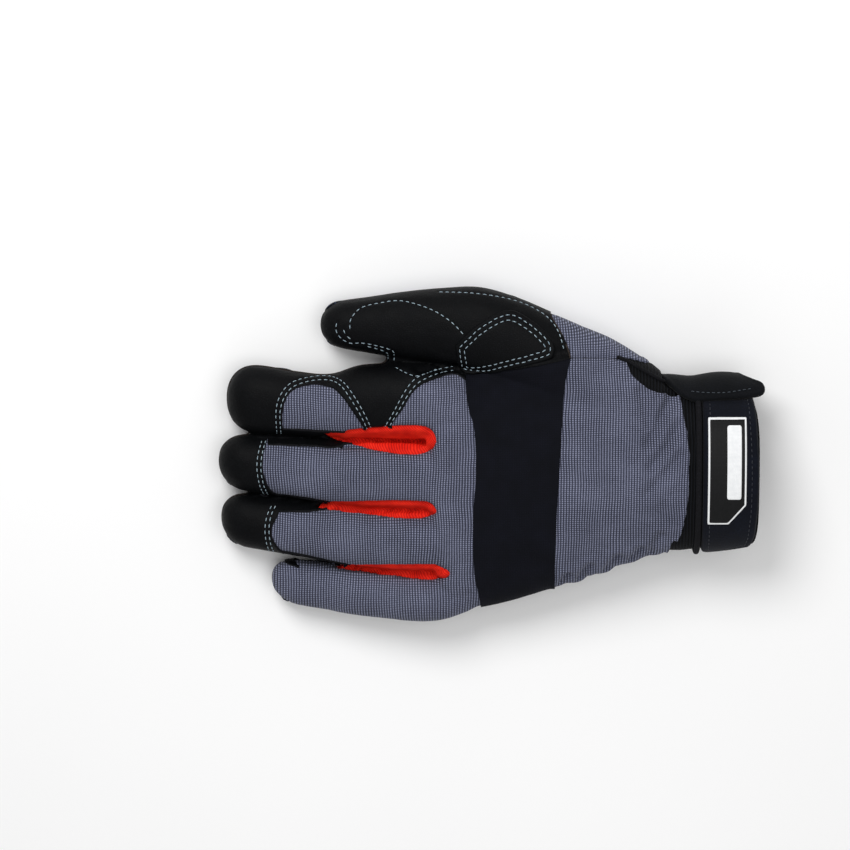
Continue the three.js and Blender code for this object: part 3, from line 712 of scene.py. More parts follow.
COARSE = 4.0  # the simulated copy's mesh size
SWELL = 1.8  # a cap on the cloth's moves, which come out at about 0.2 mm, too little to show
DRAW_IN = 0.5  # how far the whole skin is drawn in
HELD_BY_GAPS = 4.5  # how near to the middle of a gap between fingers the copy is held


def tree_of(places):
    tree = KDTree(len(places))
    for i, place in enumerate(places):
        tree.insert(Vector(place), i)
    tree.balance()
    return tree


def swelling(points, faces, sewn):
    """A light filling of the cloth between its seams, simulated on a coarse copy: its points and moves."""
    copy = mesh_object("filled_copy", points, faces)
    even = copy.modifiers.new("even_mesh", "REMESH")
    even.mode = "VOXEL"
    even.voxel_size = COARSE * MM
    bpy.context.view_layer.update()
    start, coarse_faces = triangles_of(copy)
    bpy.data.objects.remove(copy)
    cloth_piece = mesh_object("filled_cloth", start, coarse_faces)
    seams = tree_of(sewn)
    held = cloth_piece.vertex_groups.new(name="sewn")
    for i, place in enumerate(start):
        _, _, away = seams.find(Vector(place))
        low = place[2] < PATCH_TOP + 2.5
        from_gap = min(abs(place[1] - np.interp(place[0], gap_x, line)) for line in gap_y)
        between = place[0] < -WEB_LINE and from_gap < HELD_BY_GAPS
        if away < 0.6 * COARSE or low or between or place[0] > CUFF_SEAM - 3:
            held.add([i], 1.0, "REPLACE")
    cloth = cloth_piece.modifiers.new("filling", "CLOTH")
    cloth.settings.vertex_group_mass = "sewn"
    cloth.settings.use_pressure = True
    cloth.settings.uniform_pressure_force = 4.0
    cloth.settings.effector_weights.gravity = 0.0
    cloth.collision_settings.use_collision = False
    scene = bpy.context.scene
    for step in range(1, 21):
        scene.frame_set(step)
    end, _ = triangles_of(cloth_piece)
    bpy.data.objects.remove(cloth_piece)
    scene.frame_set(1)
    move = end - start
    far = np.maximum(np.linalg.norm(move, axis=1, keepdims=True), 1e-9)
    return start, move / far * SWELL * np.tanh(far / SWELL)


def carried(points, spots, moves):
    """Moves of some points, taken from the nearest spots whose moves are known."""
    tree = tree_of(spots)
    out = np.empty_like(points)
    for i, point in enumerate(points):
        near = tree.find_n(Vector(point), 5)
        weight = np.array([1 / (away**2 + 1.0) for _, _, away in near])
        out[i] = (moves[[k for _, k, _ in near]] * weight[:, None]).sum(axis=0) / weight.sum()
    return out


spots, moves = swelling(base_skin, base_tris, skin[np.unique(edge_list[seam])])
print("swelling, largest", round(float(np.linalg.norm(moves, axis=1).max()), 2), "mm")
for places, faces in ((skin, tris), (base_skin, base_tris)):
    drawn = normals_of(places, faces) * DRAW_IN * np.clip((CUFF_SEAM - places[:, :1]) / 6, 0, 1)
    off_floor = np.clip((places[:, 2:] - PATCH_TOP) / 3, 0, 1)
    places += (carried(places, spots, moves) - drawn) * off_floor
    places[:, 2] = np.maximum(places[:, 2], PATCH_TOP)
normals = normals_of(skin, tris)
normals = relax(normals, tris, 3, 0.5, 0.0)
normals /= np.linalg.norm(normals, axis=1, keepdims=True)


def skin_tree(points_mm, faces_now):
    return BVHTree.FromPolygons([Vector(p) for p in points_mm], faces_now.tolist())


def ray_from_camera(u, v):
    """Where the camera's line through a place in its 850 px frame starts and runs, in millimetres."""
    side = (u - 425) / 850 * camera_data.sensor_width / camera_data.lens
    rise = (425 - v) / 850 * camera_data.sensor_width / camera_data.lens
    direction = Vector((1, 0, 0)) * side + up * rise - back
    return (AIM + back * CAMERA_AWAY) / MM, direction.normalized()


def seen_line(tree, places, count):
    """A smooth line on the glove through places in the camera's frame: its points and normals."""
    out = []
    for u, v in smooth_line(places, count):
        start, direction = ray_from_camera(u, v)
        hit, normal, _, _ = tree.ray_cast(start, direction)
        if hit is not None:
            out.append((np.array(hit), np.array(normal)))
    return out


def beside(line, distance):
    """A plan line moved sideways, to the left of its own direction."""
    line = np.asarray(line, float)
    along = np.gradient(line, axis=0)
    along /= np.maximum(np.linalg.norm(along, axis=1, keepdims=True), 1e-9)
    return line + distance * np.column_stack((-along[:, 1], along[:, 0]))


# Stitch rows, as places in the camera's frame. Each is one row, and a double seam is two of them.
STITCH_ROWS = {
    "thumb_oval": [
        (350, 330), (351, 319), (361, 308), (380, 303), (402, 301), (430, 309), (450, 321), (464, 335),
    ],
    "thumb_edge": [(438, 292), (470, 293), (500, 297), (525, 304), (546, 316), (558, 331), (564, 350)],
    "thumb_box_a": [
        (337, 322), (336, 330), (341, 338), (350, 343), (362, 343), (378, 346), (391, 350), (394, 354),
        (394, 362),
    ],
    "thumb_box_b": [(343, 328), (346, 335), (352, 340)],
    "thumb_box_c": [(366, 346), (378, 349), (386, 352), (388, 355), (388, 361)],
    "dome_a": [
        (277, 434), (276, 412), (280, 396), (291, 383), (310, 377), (329, 376), (343, 382), (354, 396),
        (365, 415), (371, 428),
    ],
    "dome_b": [
        (281, 434), (280, 413), (284, 398), (293, 387), (310, 381), (328, 380), (340, 385), (350, 398),
        (361, 416), (367, 429),
    ],
    "knuckle_a": [(384, 428), (392, 415), (404, 393), (414, 380), (425, 374), (440, 369), (455, 366)],
    "knuckle_b": [(388, 429), (396, 415), (408, 395), (417, 384), (427, 378), (440, 373), (455, 370)],
    "knuckle_tip": [(395, 367), (404, 372), (415, 376), (425, 374), (437, 369)],
    "middle_cap_a": [(262, 440), (258, 455), (257, 470), (260, 486), (265, 496)],
    "middle_cap_b": [(266, 440), (262, 455), (261, 470), (264, 486), (269, 496)],
    "ring_cap_a": [(272, 505), (267, 516), (265, 530), (267, 545), (272, 556)],
    "ring_cap_b": [(276, 505), (271, 516), (269, 530), (271, 545), (276, 556)],
}
first_tree = skin_tree(skin, tris)
stitch_grooves = [hit for row in STITCH_ROWS.values() for hit, _ in seen_line(first_tree, row, 90)]
groove_tree = tree_of(stitch_grooves)

# Creases that the cloth and leather have taken from wear: places in the camera's frame, then depth and half
# width in millimetres
CREASES = (
    ([(350, 440), (375, 440), (400, 440), (426, 441)], 2.6, 1.7),
    ([(345, 510), (375, 510), (400, 509), (427, 510)], 0.9, 1.2),
    ([(360, 570), (390, 571), (415, 571), (440, 572)], 0.7, 1.0),
    ([(566, 352), (530, 357), (490, 363), (452, 368), (420, 370)], 1.6, 2.6),
    ([(559, 590), (563, 582), (568, 576)], 2.0, 1.8),
    ([(577, 586), (582, 576), (590, 567)], 2.2, 2.2),
    ([(600, 579), (608, 568), (618, 558)], 2.0, 2.2),
    ([(624, 571), (631, 560), (641, 550)], 2.0, 2.0),
    ([(648, 560), (654, 548), (661, 536)], 1.6, 2.0),
    ([(672, 398), (661, 420), (649, 444)], 1.7, 2.4),
    ([(681, 424), (668, 446), (652, 468)], 1.7, 2.4),
    ([(681, 456), (666, 474), (648, 494)], 1.4, 2.4),
    ([(640, 392), (646, 408), (650, 426)], 1.3, 2.2),
    ([(327, 384), (331, 400), (334, 418)], 0.5, 3.5),
    ([(330, 448), (328, 470), (331, 492)], 0.35, 4.0),
    ([(345, 522), (343, 540), (346, 556)], 0.35, 4.0),
)
crease_points = []
for places, depth, half in CREASES:
    crease_points += [(hit, depth, half) for hit, _ in seen_line(first_tree, places, 24)]
crease_tree = tree_of([hit for hit, _, _ in crease_points])


GROOVE = 0.32  # how deep a row of stitches pulls the cloth in
GROOVE_HALF = 0.75
CREASE_BANK = 0.35  # how far a crease's banks stand up, as a share of its depth
GATHER_FROM, GATHER_TO = 28.0, 76.0  # where the little finger's side of the wrist is gathered by its seam
GATHER_PITCH = 13.0
GATHER = 1.6


def panel_points(index):
    """A panel's own points, moved out by its relief, and its triangles."""
    mine = tris[panel == index]
    used = np.unique(mine)
    order = np.full(len(skin), -1)
    order[used] = np.arange(len(used))
    near = meets.get(index, {})
    tree = tree_of([skin[vertex] for vertex in near])
    others = list(near.values())
    name = NAMES[index]
    leather = "leather" in name
    out = skin[used].copy()
    for i, vertex in enumerate(used):
        point = Vector(skin[vertex])
        hit, k, away = tree.find(point) if others else (None, 0, 99.0)
        move = relief(name, away, NAMES[others[k]] if others else name)
        _, _, away = groove_tree.find(point)
        if away < 3:
            move -= GROOVE * math.exp(-((away / GROOVE_HALF) ** 2))
        _, k, away = crease_tree.find(point)
        if away < 12:
            _, depth, half = crease_points[k]
            bank = CREASE_BANK * math.exp(-(((away - 2.2 * half) / half) ** 2))
            move -= depth * (math.exp(-((away / half) ** 2)) - bank)
        if GATHER_FROM < point.x < GATHER_TO and point.y < 0:
            at_side = math.exp(-((skin[vertex][2] - side_seam(skin[vertex][None])[0]) / 9) ** 2)
            ends = min(point.x - GATHER_FROM, GATHER_TO - point.x) / 6
            turn = 2 * math.pi * (point.x + 0.25 * point.z) / GATHER_PITCH
            move += GATHER * at_side * min(ends, 1) * math.sin(turn)
        if name not in ("knuckle_band", "cuff_band"):
            move += 0.22 * uneven(point, 11.0, index) + 0.1 * uneven(point, 4.5, index + 40)
            if leather:
                move += 0.2 * abs(uneven((point.x, 2.2 * point.y, 2.2 * point.z), 9.0, index + 80))
        out[i] = skin[vertex] + normals[vertex] * move
    out[:, 2] = np.maximum(out[:, 2], PATCH_TOP - 0.3)
    return out, order[mine]


shaped = {name: panel_points(i) for i, name in enumerate(NAMES)}
all_points = np.vstack([p for p, _ in shaped.values()])
all_tris = []
start = 0
for p, t in shaped.values():
    all_tris.append(t + start)
    start += len(p)
dressed_tree = skin_tree(all_points, np.vstack(all_tris))


def linear(code):
    """An sRGB hex colour as linear red, green, blue and alpha."""
    parts = [int(code[i : i + 2], 16) / 255 for i in (1, 3, 5)]
    return (*[p / 12.92 if p <= 0.04045 else ((p + 0.055) / 1.055) ** 2.4 for p in parts], 1.0)


def add(tree, kind, sockets=None, **settings):
    """Adds a node, sets it, and fills its sockets with values or with links from other nodes."""
    node = tree.nodes.new(kind)
    for key, value in settings.items():
        setattr(node, key, value)
    for key, value in (sockets or {}).items():
        if isinstance(value, bpy.types.NodeSocket):
            tree.links.new(value, node.inputs[key])
        else:
            node.inputs[key].default_value = value
    return node


def new_material(name):
    material = bpy.data.materials.new(name)
    material.use_nodes = True
    tree = material.node_tree
    tree.nodes.clear()
    where = add(tree, "ShaderNodeTexCoord").outputs["Object"]
    return material, tree, where


def output(tree, sockets):
    """The surface itself, from its colour, roughness, gloss and relief."""
    surface = add(tree, "ShaderNodeBsdfPrincipled", sockets)
    add(tree, "ShaderNodeOutputMaterial", {"Surface": surface.outputs[0]})


def steps(tree, factor, colours):
    """A colour ramp over a factor, from pairs of place and colour."""
    ramp = add(tree, "ShaderNodeValToRGB", {"Fac": factor})
    while len(ramp.color_ramp.elements) < len(colours):
        ramp.color_ramp.elements.new(0.5)
    for element, (place, code) in zip(ramp.color_ramp.elements, colours):
        element.position = place
        element.color = linear(code)
    return ramp.outputs["Color"]


def waves(tree, where, axis, pitch):
    """Even rows along an axis, pitch millimetres apart, from 0 to 1."""
    return add(
        tree,
        "ShaderNodeTexWave",
        {"Vector": where, "Scale": math.pi / (10 * pitch * MM), "Distortion": 0.0},
        wave_type="BANDS",
        bands_direction=axis,
        wave_profile="SIN",
    ).outputs["Fac"]


def cloud(tree, where, size, detail=2.0):
    """Soft unevenness with blobs of that size in millimetres."""
    return add(
        tree, "ShaderNodeTexNoise", {"Vector": where, "Scale": 1 / (size * MM), "Detail": detail}
    ).outputs["Fac"]


def maths(tree, kind, a, b=0.0):
    return add(tree, "ShaderNodeMath", {0: a, 1: b}, operation=kind).outputs[0]


def bump(tree, height, depth):
    """A bump of that depth in millimetres."""
    sockets = {"Height": height, "Strength": 1.0, "Distance": depth * MM}
    return add(tree, "ShaderNodeBump", sockets).outputs["Normal"]


def drifting(tree, where, size, amount):
    """Places moved about smoothly, so that rows drawn over them wander by that many millimetres."""
    noisy = {"Vector": where, "Scale": 1 / (size * MM), "Detail": 1.0}
    field = add(tree, "ShaderNodeTexNoise", noisy).outputs["Color"]
    middle = add(tree, "ShaderNodeVectorMath", {0: field, 1: (0.5, 0.5, 0.5)}, operation="SUBTRACT")
    scaled = {0: middle.outputs[0], "Scale": 2 * amount * MM}
    moved = add(tree, "ShaderNodeVectorMath", scaled, operation="SCALE").outputs[0]
    return add(tree, "ShaderNodeVectorMath", {0: where, 1: moved}, operation="ADD").outputs[0]


def grey_knit():
    """Polyester stretch knit: close ribs across the hand, in grey-blue yarn with dark gaps between them."""
    material, tree, where = new_material("polyester_rib_knit")
    cloth = drifting(tree, where, 26, 1.5)
    ribs = waves(tree, cloth, "X", 1.25)
    loops = waves(tree, cloth, "Y", 0.95)
    thread = maths(tree, "MULTIPLY", ribs, maths(tree, "ADD", maths(tree, "MULTIPLY", loops, 0.7), 0.3))
    yarn = maths(tree, "MULTIPLY", cloud(tree, where, 0.7, 1.0), 0.3)
    wear = maths(tree, "MULTIPLY", maths(tree, "SUBTRACT", cloud(tree, where, 16), 0.5), 0.3)
    tone = maths(tree, "ADD", maths(tree, "ADD", thread, wear), maths(tree, "SUBTRACT", yarn, 0.15))
    colour = steps(tree, tone, [(0.0, "#2b2d38"), (0.25, "#454859"), (0.55, "#6e7289"), (0.9, "#969ab0")])
    output(tree, {
        "Base Color": colour, "Roughness": 0.9, "Specular IOR Level": 0.15, "Sheen Weight": 0.06,
        "Sheen Roughness": 0.5, "Normal": bump(tree, thread, 0.3),
    })
    return material


def black_leather():
    """Split synthetic leather: near black, fine pebbled grain, a low soft gloss where it is rubbed."""
    material, tree, where = new_material("synthetic_leather")
    grain = add(
        tree, "ShaderNodeTexVoronoi", {"Vector": drifting(tree, where, 3, 0.5), "Scale": 1 / (0.95 * MM)},
        feature="DISTANCE_TO_EDGE",
    ).outputs["Distance"]
    pebble = maths(tree, "MINIMUM", grain, 0.3)
    broad = cloud(tree, where, 8.0, 4.0)
    height = maths(tree, "ADD", pebble, maths(tree, "MULTIPLY", broad, 0.5))
    tone = maths(tree, "ADD", pebble, maths(tree, "MULTIPLY", broad, 0.6))
    colour = steps(tree, tone, [(0.1, "#040405"), (0.5, "#07080a"), (0.9, "#0e0f12")])
    rough = add(tree, "ShaderNodeMapRange", {"Value": broad, "To Min": 0.45, "To Max": 0.7}).outputs["Result"]
    output(tree, {
        "Base Color": colour, "Roughness": rough, "Specular IOR Level": 0.08,
        "Normal": bump(tree, height, 0.2),
    })
    return material


def navy_band():
    """Neoprene faced with smooth jersey: even navy-black, matt, with a close stretch of fine wales."""
    material, tree, where = new_material("jersey_faced_neoprene")
    weave = maths(tree, "MULTIPLY", waves(tree, where, "X", 0.8), waves(tree, where, "Y", 0.8))
    soft = maths(tree, "MULTIPLY", cloud(tree, where, 9), 0.6)
    shade = maths(tree, "ADD", maths(tree, "MULTIPLY", weave, 0.4), soft)
    colour = steps(tree, shade, [(0.1, "#08090e"), (0.55, "#0d0e16"), (0.95, "#151723")])
    output(tree, {
        "Base Color": colour, "Roughness": 0.85, "Specular IOR Level": 0.1,
        "Normal": bump(tree, weave, 0.08),
    })
    return material


def navy_mesh():
    """Grip patch: a coarse raised basket weave in dark navy yarn."""
    material, tree, where = new_material("woven_grip_patch")
    slantwise = {"Vector": where, "Rotation": (0, 0, math.radians(45))}
    turned = add(tree, "ShaderNodeMapping", slantwise).outputs[0]
    weave = maths(tree, "MULTIPLY", waves(tree, turned, "X", 1.5), waves(tree, turned, "Y", 1.5))
    soft = maths(tree, "MULTIPLY", maths(tree, "SUBTRACT", cloud(tree, where, 10), 0.5), 0.3)
    tone = maths(tree, "ADD", weave, soft)
    colour = steps(tree, tone, [(0.0, "#090c14"), (0.4, "#151c2b"), (0.85, "#303b54")])
    output(tree, {
        "Base Color": colour, "Roughness": 0.75, "Specular IOR Level": 0.25, "Normal": bump(tree, weave, 0.3),
    })
    return material


def orange_stretch():
    """Stretch twill in a strong orange-red, its fine ribs running slantwise."""
    material, tree, where = new_material("stretch_twill")
    ribs = waves(tree, drifting(tree, where, 8, 0.8), "DIAGONAL", 0.75)
    soft = maths(tree, "MULTIPLY", cloud(tree, where, 5), 0.6)
    tone = maths(tree, "ADD", maths(tree, "MULTIPLY", ribs, 0.4), soft)
    colour = steps(tree, tone, [(0.15, "#a60d05"), (0.5, "#dc1a0b"), (0.85, "#f9341c")])
    output(tree, {
        "Base Color": colour, "Roughness": 0.75, "Specular IOR Level": 0.15, "Normal": bump(tree, ribs, 0.12),
    })
    return material


def black_elastic():
    """Woven elastic: black, with raised ribs across the band."""
    material, tree, where = new_material("ribbed_elastic")
    ribs = waves(tree, drifting(tree, where, 15, 0.6), "X", 1.5)
    colour = steps(tree, ribs, [(0.0, "#030304"), (0.6, "#08090c"), (1.0, "#111318")])
    output(tree, {
        "Base Color": colour, "Roughness": 0.85, "Specular IOR Level": 0.15, "Normal": bump(tree, ribs, 0.5),
    })
    return material


def brushed_tape(name, dark, middle, light):
    """Brushed loop tape on a foam core: its short nap catches the light."""
    material, tree, where = new_material(name)
    nap = cloud(tree, where, 0.8, 3.0)
    soft = maths(tree, "MULTIPLY", cloud(tree, where, 9), 0.4)
    tone = maths(tree, "ADD", maths(tree, "MULTIPLY", nap, 0.6), soft)
    colour = steps(tree, tone, [(0.2, dark), (0.5, middle), (0.85, light)])
    output(tree, {
        "Base Color": colour, "Roughness": 0.85, "Specular IOR Level": 0.12, "Sheen Weight": 0.05,
        "Normal": bump(tree, nap, 0.15),
    })
    return material


def thread(name, dark, middle, light):
    """Twisted polyester sewing thread."""
    material, tree, where = new_material(name)
    twist = waves(tree, where, "DIAGONAL", 0.45)
    colour = steps(tree, twist, [(0.0, dark), (0.5, middle), (1.0, light)])
    output(tree, {"Base Color": colour, "Roughness": 0.6, "Normal": bump(tree, twist, 0.08)})
    return material


def cut_edge(name, dark, middle, light):
    """The raw edge or a folded binding of the synthetic leather: short fibres of its backing."""
    material, tree, where = new_material(name)
    fibre = cloud(tree, where, 0.6, 3.0)
    colour = steps(tree, fibre, [(0.3, dark), (0.6, middle), (0.85, light)])
    output(tree, {
        "Base Color": colour, "Roughness": 0.9, "Specular IOR Level": 0.15, "Normal": bump(tree, fibre, 0.1),
    })
    return material


def lining():
    """Brushed tricot on the inside."""
    material, tree, where = new_material("tricot_lining")
    ribs = waves(tree, drifting(tree, where, 12, 0.8), "Y", 1.0)
    colour = steps(tree, ribs, [(0.0, "#101114"), (0.6, "#1b1c21"), (1.0, "#292b32")])
    output(tree, {
        "Base Color": colour, "Roughness": 0.95, "Specular IOR Level": 0.15, "Normal": bump(tree, ribs, 0.15),
    })
    return material


def print_ink(name, colours, rough):
    """Screen-printed ink over a woven label, so the weave still shows through."""
    material, tree, where = new_material(name)
    weave = maths(tree, "MULTIPLY", waves(tree, where, "X", 0.6), waves(tree, where, "Y", 0.6))
    soft = maths(tree, "MULTIPLY", cloud(tree, where, 3), 0.5)
    tone = maths(tree, "ADD", maths(tree, "MULTIPLY", weave, 0.5), soft)
    output(tree, {
        "Base Color": steps(tree, tone, colours), "Roughness": rough, "Specular IOR Level": 0.2,
        "Normal": bump(tree, weave, 0.05),
    })
    return material


KNIT = grey_knit()
LEATHER = black_leather()
BAND = navy_band()
PATCH = navy_mesh()
ORANGE = orange_stretch()
ELASTIC = black_elastic()
STRAP = brushed_tape("navy_loop_tape", "#04060b", "#080b15", "#111724")
FLAP = brushed_tape("black_hook_tape", "#030406", "#06080c", "#0e1016")
THREAD = thread("pale_thread", "#6f8492", "#8fa4b0", "#b5c6ce")
DARK_THREAD = thread("dark_thread", "#14161b", "#23262d", "#363a44")
EDGE = cut_edge("leather_cut_edge", "#1a1715", "#332c28", "#564b43")
BINDING = cut_edge("folded_binding", "#0a0a0c", "#121216", "#1e1f25")
FLAP_THREAD = thread("grey_thread", "#20262c", "#343c44", "#4a545c")
LINING = lining()
LABEL_BLACK = print_ink("label_ground", [(0.2, "#050506"), (0.8, "#0e0f12")], 0.55)
LABEL_WHITE = print_ink("label_ink", [(0.2, "#e2e4e6"), (0.8, "#ffffff")], 0.5)

# Each panel's finish, slot name, CAD nodes and thickness in millimetres
PANELS = {
    "palm_leather": (LEATHER, "black_leather", 1.7, (
        "palm_leather", "index_front_leather", "middle_front_leather", "ring_front_leather",
        "pinky_front_leather",
    )),
    "index_back_leather": (LEATHER, "black_leather", 1.7, ("index_back_leather",)),
    "middle_back_leather": (LEATHER, "black_leather", 1.7, ("middle_back_leather",)),
    "ring_back_leather": (LEATHER, "black_leather", 1.7, ("ring_back_leather",)),
    "thumb_leather": (LEATHER, "black_leather", 1.7, ("thumb_leather",)),
    "finger_back_knit": (KNIT, "grey_knit", 1.2, (
        "knuckle_knit", "middle_back_knit", "ring_back_knit", "pinky_back_knit",
    )),
    "index_back_knit": (KNIT, "grey_knit", 1.2, ("index_back_knit",)),
    "wrist_back_knit": (KNIT, "grey_knit", 1.2, ("wrist_back_knit",)),
    "thumb_side_knit": (KNIT, "grey_knit", 1.2, ("thumb_side_knit",)),
    "knuckle_band": (BAND, "navy_band", 1.8, ("knuckle_band",)),
    "slit_gore": (ELASTIC, "black_elastic", 1.2, ("slit_gore",)),
    "cuff_band": (ELASTIC, "black_elastic", 1.8, ("cuff_band",)),
    "fourchette_index_middle": (ORANGE, "orange_stretch", 1.2, ("fourchette_index_middle",)),
    "fourchette_middle_ring": (ORANGE, "orange_stretch", 1.2, ("fourchette_middle_ring",)),
    "fourchette_ring_pinky": (ORANGE, "orange_stretch", 1.2, ("fourchette_ring_pinky",)),
}


def finish_piece(piece, materials, nodes=(), thickness=0.0):
    for material in materials:
        piece.data.materials.append(material)
    if thickness:
        wall = piece.modifiers.new("wall", "SOLIDIFY")
        wall.thickness = thickness * MM
        wall.offset = -1
        wall.use_rim = True
        wall.material_offset = min(1, len(materials) - 1)
        wall.material_offset_rim = min(2, len(materials) - 1)
    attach(piece, "root")
    if nodes:
        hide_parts(*nodes)
    return piece


for name, (material, slot, thickness, nodes) in PANELS.items():
    piece = mesh_object(name + "_panel", *shaped[name])
    edge = BINDING if material is LEATHER else material
    finish_piece(piece, [material, LINING, edge], nodes, thickness)


def along_run(at, run, columns):
    """The value of some columns at a distance along a run."""
    return np.array([np.interp(at, run, columns[:, i]) for i in range(3)])


STITCH_SIDES = 6
STITCH_RINGS = ((-1.0, 0.0), (-0.72, 0.72), (0.0, 1.0), (0.72, 0.72), (1.0, 0.0))  # place along it, and girth


def stitch_faces(first):
    """The faces of one stitch whose points start at that number."""
    ring = STITCH_SIDES
    after = [(j + 1) % ring for j in range(ring)]
    last = first + 1 + 2 * ring
    out = [(first, first + 1 + j, first + 1 + after[j]) for j in range(ring)]
    for base in (first + 1, first + 1 + ring):
        out += [(base + j, base + ring + j, base + ring + after[j], base + after[j]) for j in range(ring)]
    return out + [(last + j, last + ring, last + after[j]) for j in range(ring)]


def stitches(name, lines, material=None, pitch=2.9, length=2.05, thick=0.46, sink=0.04):
    """Separate stitches along rows of points with normals, as one piece."""
    all_pts, all_faces = [], []
    for line in lines:
        if len(line) < 3:
            continue
        spots = np.array([p for p, _ in line])
        outs = np.array([n for _, n in line])
        run = np.concatenate(([0], np.cumsum(np.linalg.norm(np.diff(spots, axis=0), axis=1))))
        count = max(1, int(run[-1] / pitch))
        for k in range(count):
            at = (k + 0.5) * run[-1] / count
            mid, out_dir = along_run(at, run, spots), along_run(at, run, outs)
            along = along_run(at + length / 2, run, spots) - along_run(at - length / 2, run, spots)
            if np.linalg.norm(along) < 0.3:
                continue
            along /= np.linalg.norm(along)
            out_dir -= along * (out_dir @ along)
            out_dir /= max(np.linalg.norm(out_dir), 1e-9)
            side = np.cross(along, out_dir)
            all_faces += stitch_faces(len(all_pts))
            for turn, radius in STITCH_RINGS:
                lift = thick * (0.35 - 0.45 * turn * turn) - sink
                centre_at = mid + along * turn * length / 2 + out_dir * lift
                if radius == 0.0:
                    all_pts.append(centre_at)
                    continue
                for j in range(STITCH_SIDES):
                    angle = 2 * math.pi * j / STITCH_SIDES
                    way = side * math.cos(angle) + out_dir * math.sin(angle) * 0.8
                    all_pts.append(centre_at + way * radius * thick / 2)
    return finish_piece(mesh_object(name, all_pts, all_faces), [material or THREAD])


stitches("back_stitches", [seen_line(dressed_tree, row, 120) for row in STITCH_ROWS.values()])


def shell(points, faces, outs, height, base):
    """A closed body over a piece of surface, from base to base + height above it, in millimetres."""
    count = len(points)
    top = points + outs * (base + height)[:, None]
    low = points + outs * base
    directed = np.vstack((faces[:, [0, 1]], faces[:, [1, 2]], faces[:, [2, 0]]))
    coded = directed[:, 0].astype(np.int64) * count + directed[:, 1]
    reverse = directed[:, 1].astype(np.int64) * count + directed[:, 0]
    rim = directed[~np.isin(coded, reverse)]
    closed = faces.tolist() + (faces[:, ::-1] + count).tolist()
    closed += [[b, a, a + count, b + count] for a, b in rim.tolist()]
    return np.vstack((top, low)), closed


class Sewn:
    """A piece laid on the glove: the surface inside an outline, as a closed body whose edge is rounded over.

    The outline is drawn in flat, a function that gives each point of the surface its place on a flat pattern.
    """

    def __init__(self, surface, flat, outline, base, height, turn=1.2, rows=(), groove=0.25, facing=None):
        points, faces = surface
        outline = np.asarray(outline, float)
        middle = points[faces].mean(axis=1)
        near = inside_plan(outline, flat(middle)) > -5
        if facing is not None:
            a, b, c = points[faces[:, 0]], points[faces[:, 1]], points[faces[:, 2]]
            near &= np.cross(b - a, c - a) @ np.array(facing, float) > 0
        faces = faces[near]
        points, faces = self.used_only(points, faces)
        for level in (0.0, 0.4 * turn, turn):
            points, faces = cut(points, faces, inside_plan(outline, flat(points)) - level)
        outs = normals_of(points, faces)
        outs = relax(outs, faces, 2, 0.5, 0.0)
        outs /= np.maximum(np.linalg.norm(outs, axis=1, keepdims=True), 1e-9)
        inside = inside_plan(outline, flat(points[faces].mean(axis=1))) > 0
        faces = faces[inside]
        used = np.unique(faces)
        outs = outs[used]
        points, faces = self.used_only(points, faces)
        away = np.maximum(inside_plan(outline, flat(points)), 0)
        rise = height * (0.3 + 0.7 * np.sqrt(1 - (1 - np.minimum(away / turn, 1)) ** 2))
        for row in rows:
            rise = rise - groove * np.exp(-(((away - row) / 0.55) ** 2))
        self.points, self.faces, self.outs, self.rise, self.base = points, faces, outs, rise, base
        self.places = flat(points)
        self.outline = outline
        self.tree = tree_of([(x, y, 0) for x, y in self.places])

    @staticmethod
    def used_only(points, faces):
        used = np.unique(faces)
        order = np.full(len(points), -1)
        order[used] = np.arange(len(used))
        return points[used], order[faces]

    def body(self):
        points, faces = shell(self.points, self.faces, self.outs, self.rise, self.base)
        points[:, 2] = np.maximum(points[:, 2], 0.02)
        return points, faces

    def row(self, line):
        """A line of the flat pattern, laid on the outside of the piece."""
        line = np.asarray(line, float)
        out = []
        for x, y in line:
            near = self.tree.find_n((x, y, 0), 5)
            weight = np.array([1 / (away**2 + 0.02) for _, _, away in near])
            index = [k for _, k, _ in near]
            weight /= weight.sum()
            outs = (self.outs[index] * weight[:, None]).sum(axis=0)
            spot = (self.points[index] * weight[:, None]).sum(axis=0)
            lift = self.base + (self.rise[index] * weight).sum()
            out.append((spot + outs * lift, outs))
        return out

    def inner_row(self, distance):
        """A line along the outline, that distance inside it."""
        ring = np.vstack((self.outline, self.outline[:1]))
        run = np.concatenate(([0], np.cumsum(np.hypot(*np.diff(ring, axis=0).T))))
        at = np.linspace(0, run[-1], int(run[-1]))
        ring = np.column_stack((np.interp(at, run, ring[:, 0]), np.interp(at, run, ring[:, 1])))
        area = np.sum(ring[:-1, 0] * ring[1:, 1] - ring[1:, 0] * ring[:-1, 1])
        moved = beside(ring, math.copysign(distance, area))
        good = inside_plan(self.outline, moved) > distance - 0.3
        return self.row(moved[good])


def rounded(x0, x1, y0, y1, radius, turn=8):
    """Plan outline of a rectangle with round corners."""
    outline = []
    for cx, cy, start in ((x1 - radius, y1 - radius, 0), (x0 + radius, y1 - radius, 1),
                          (x0 + radius, y0 + radius, 2), (x1 - radius, y0 + radius, 3)):
        for angle in np.linspace(start, start + 1, turn) * math.pi / 2:
            outline.append((cx + radius * math.cos(angle), cy + radius * math.sin(angle)))
    return np.array(outline)


def from_above(points):
    return points[:, :2]


surface = (base_skin, base_tris)

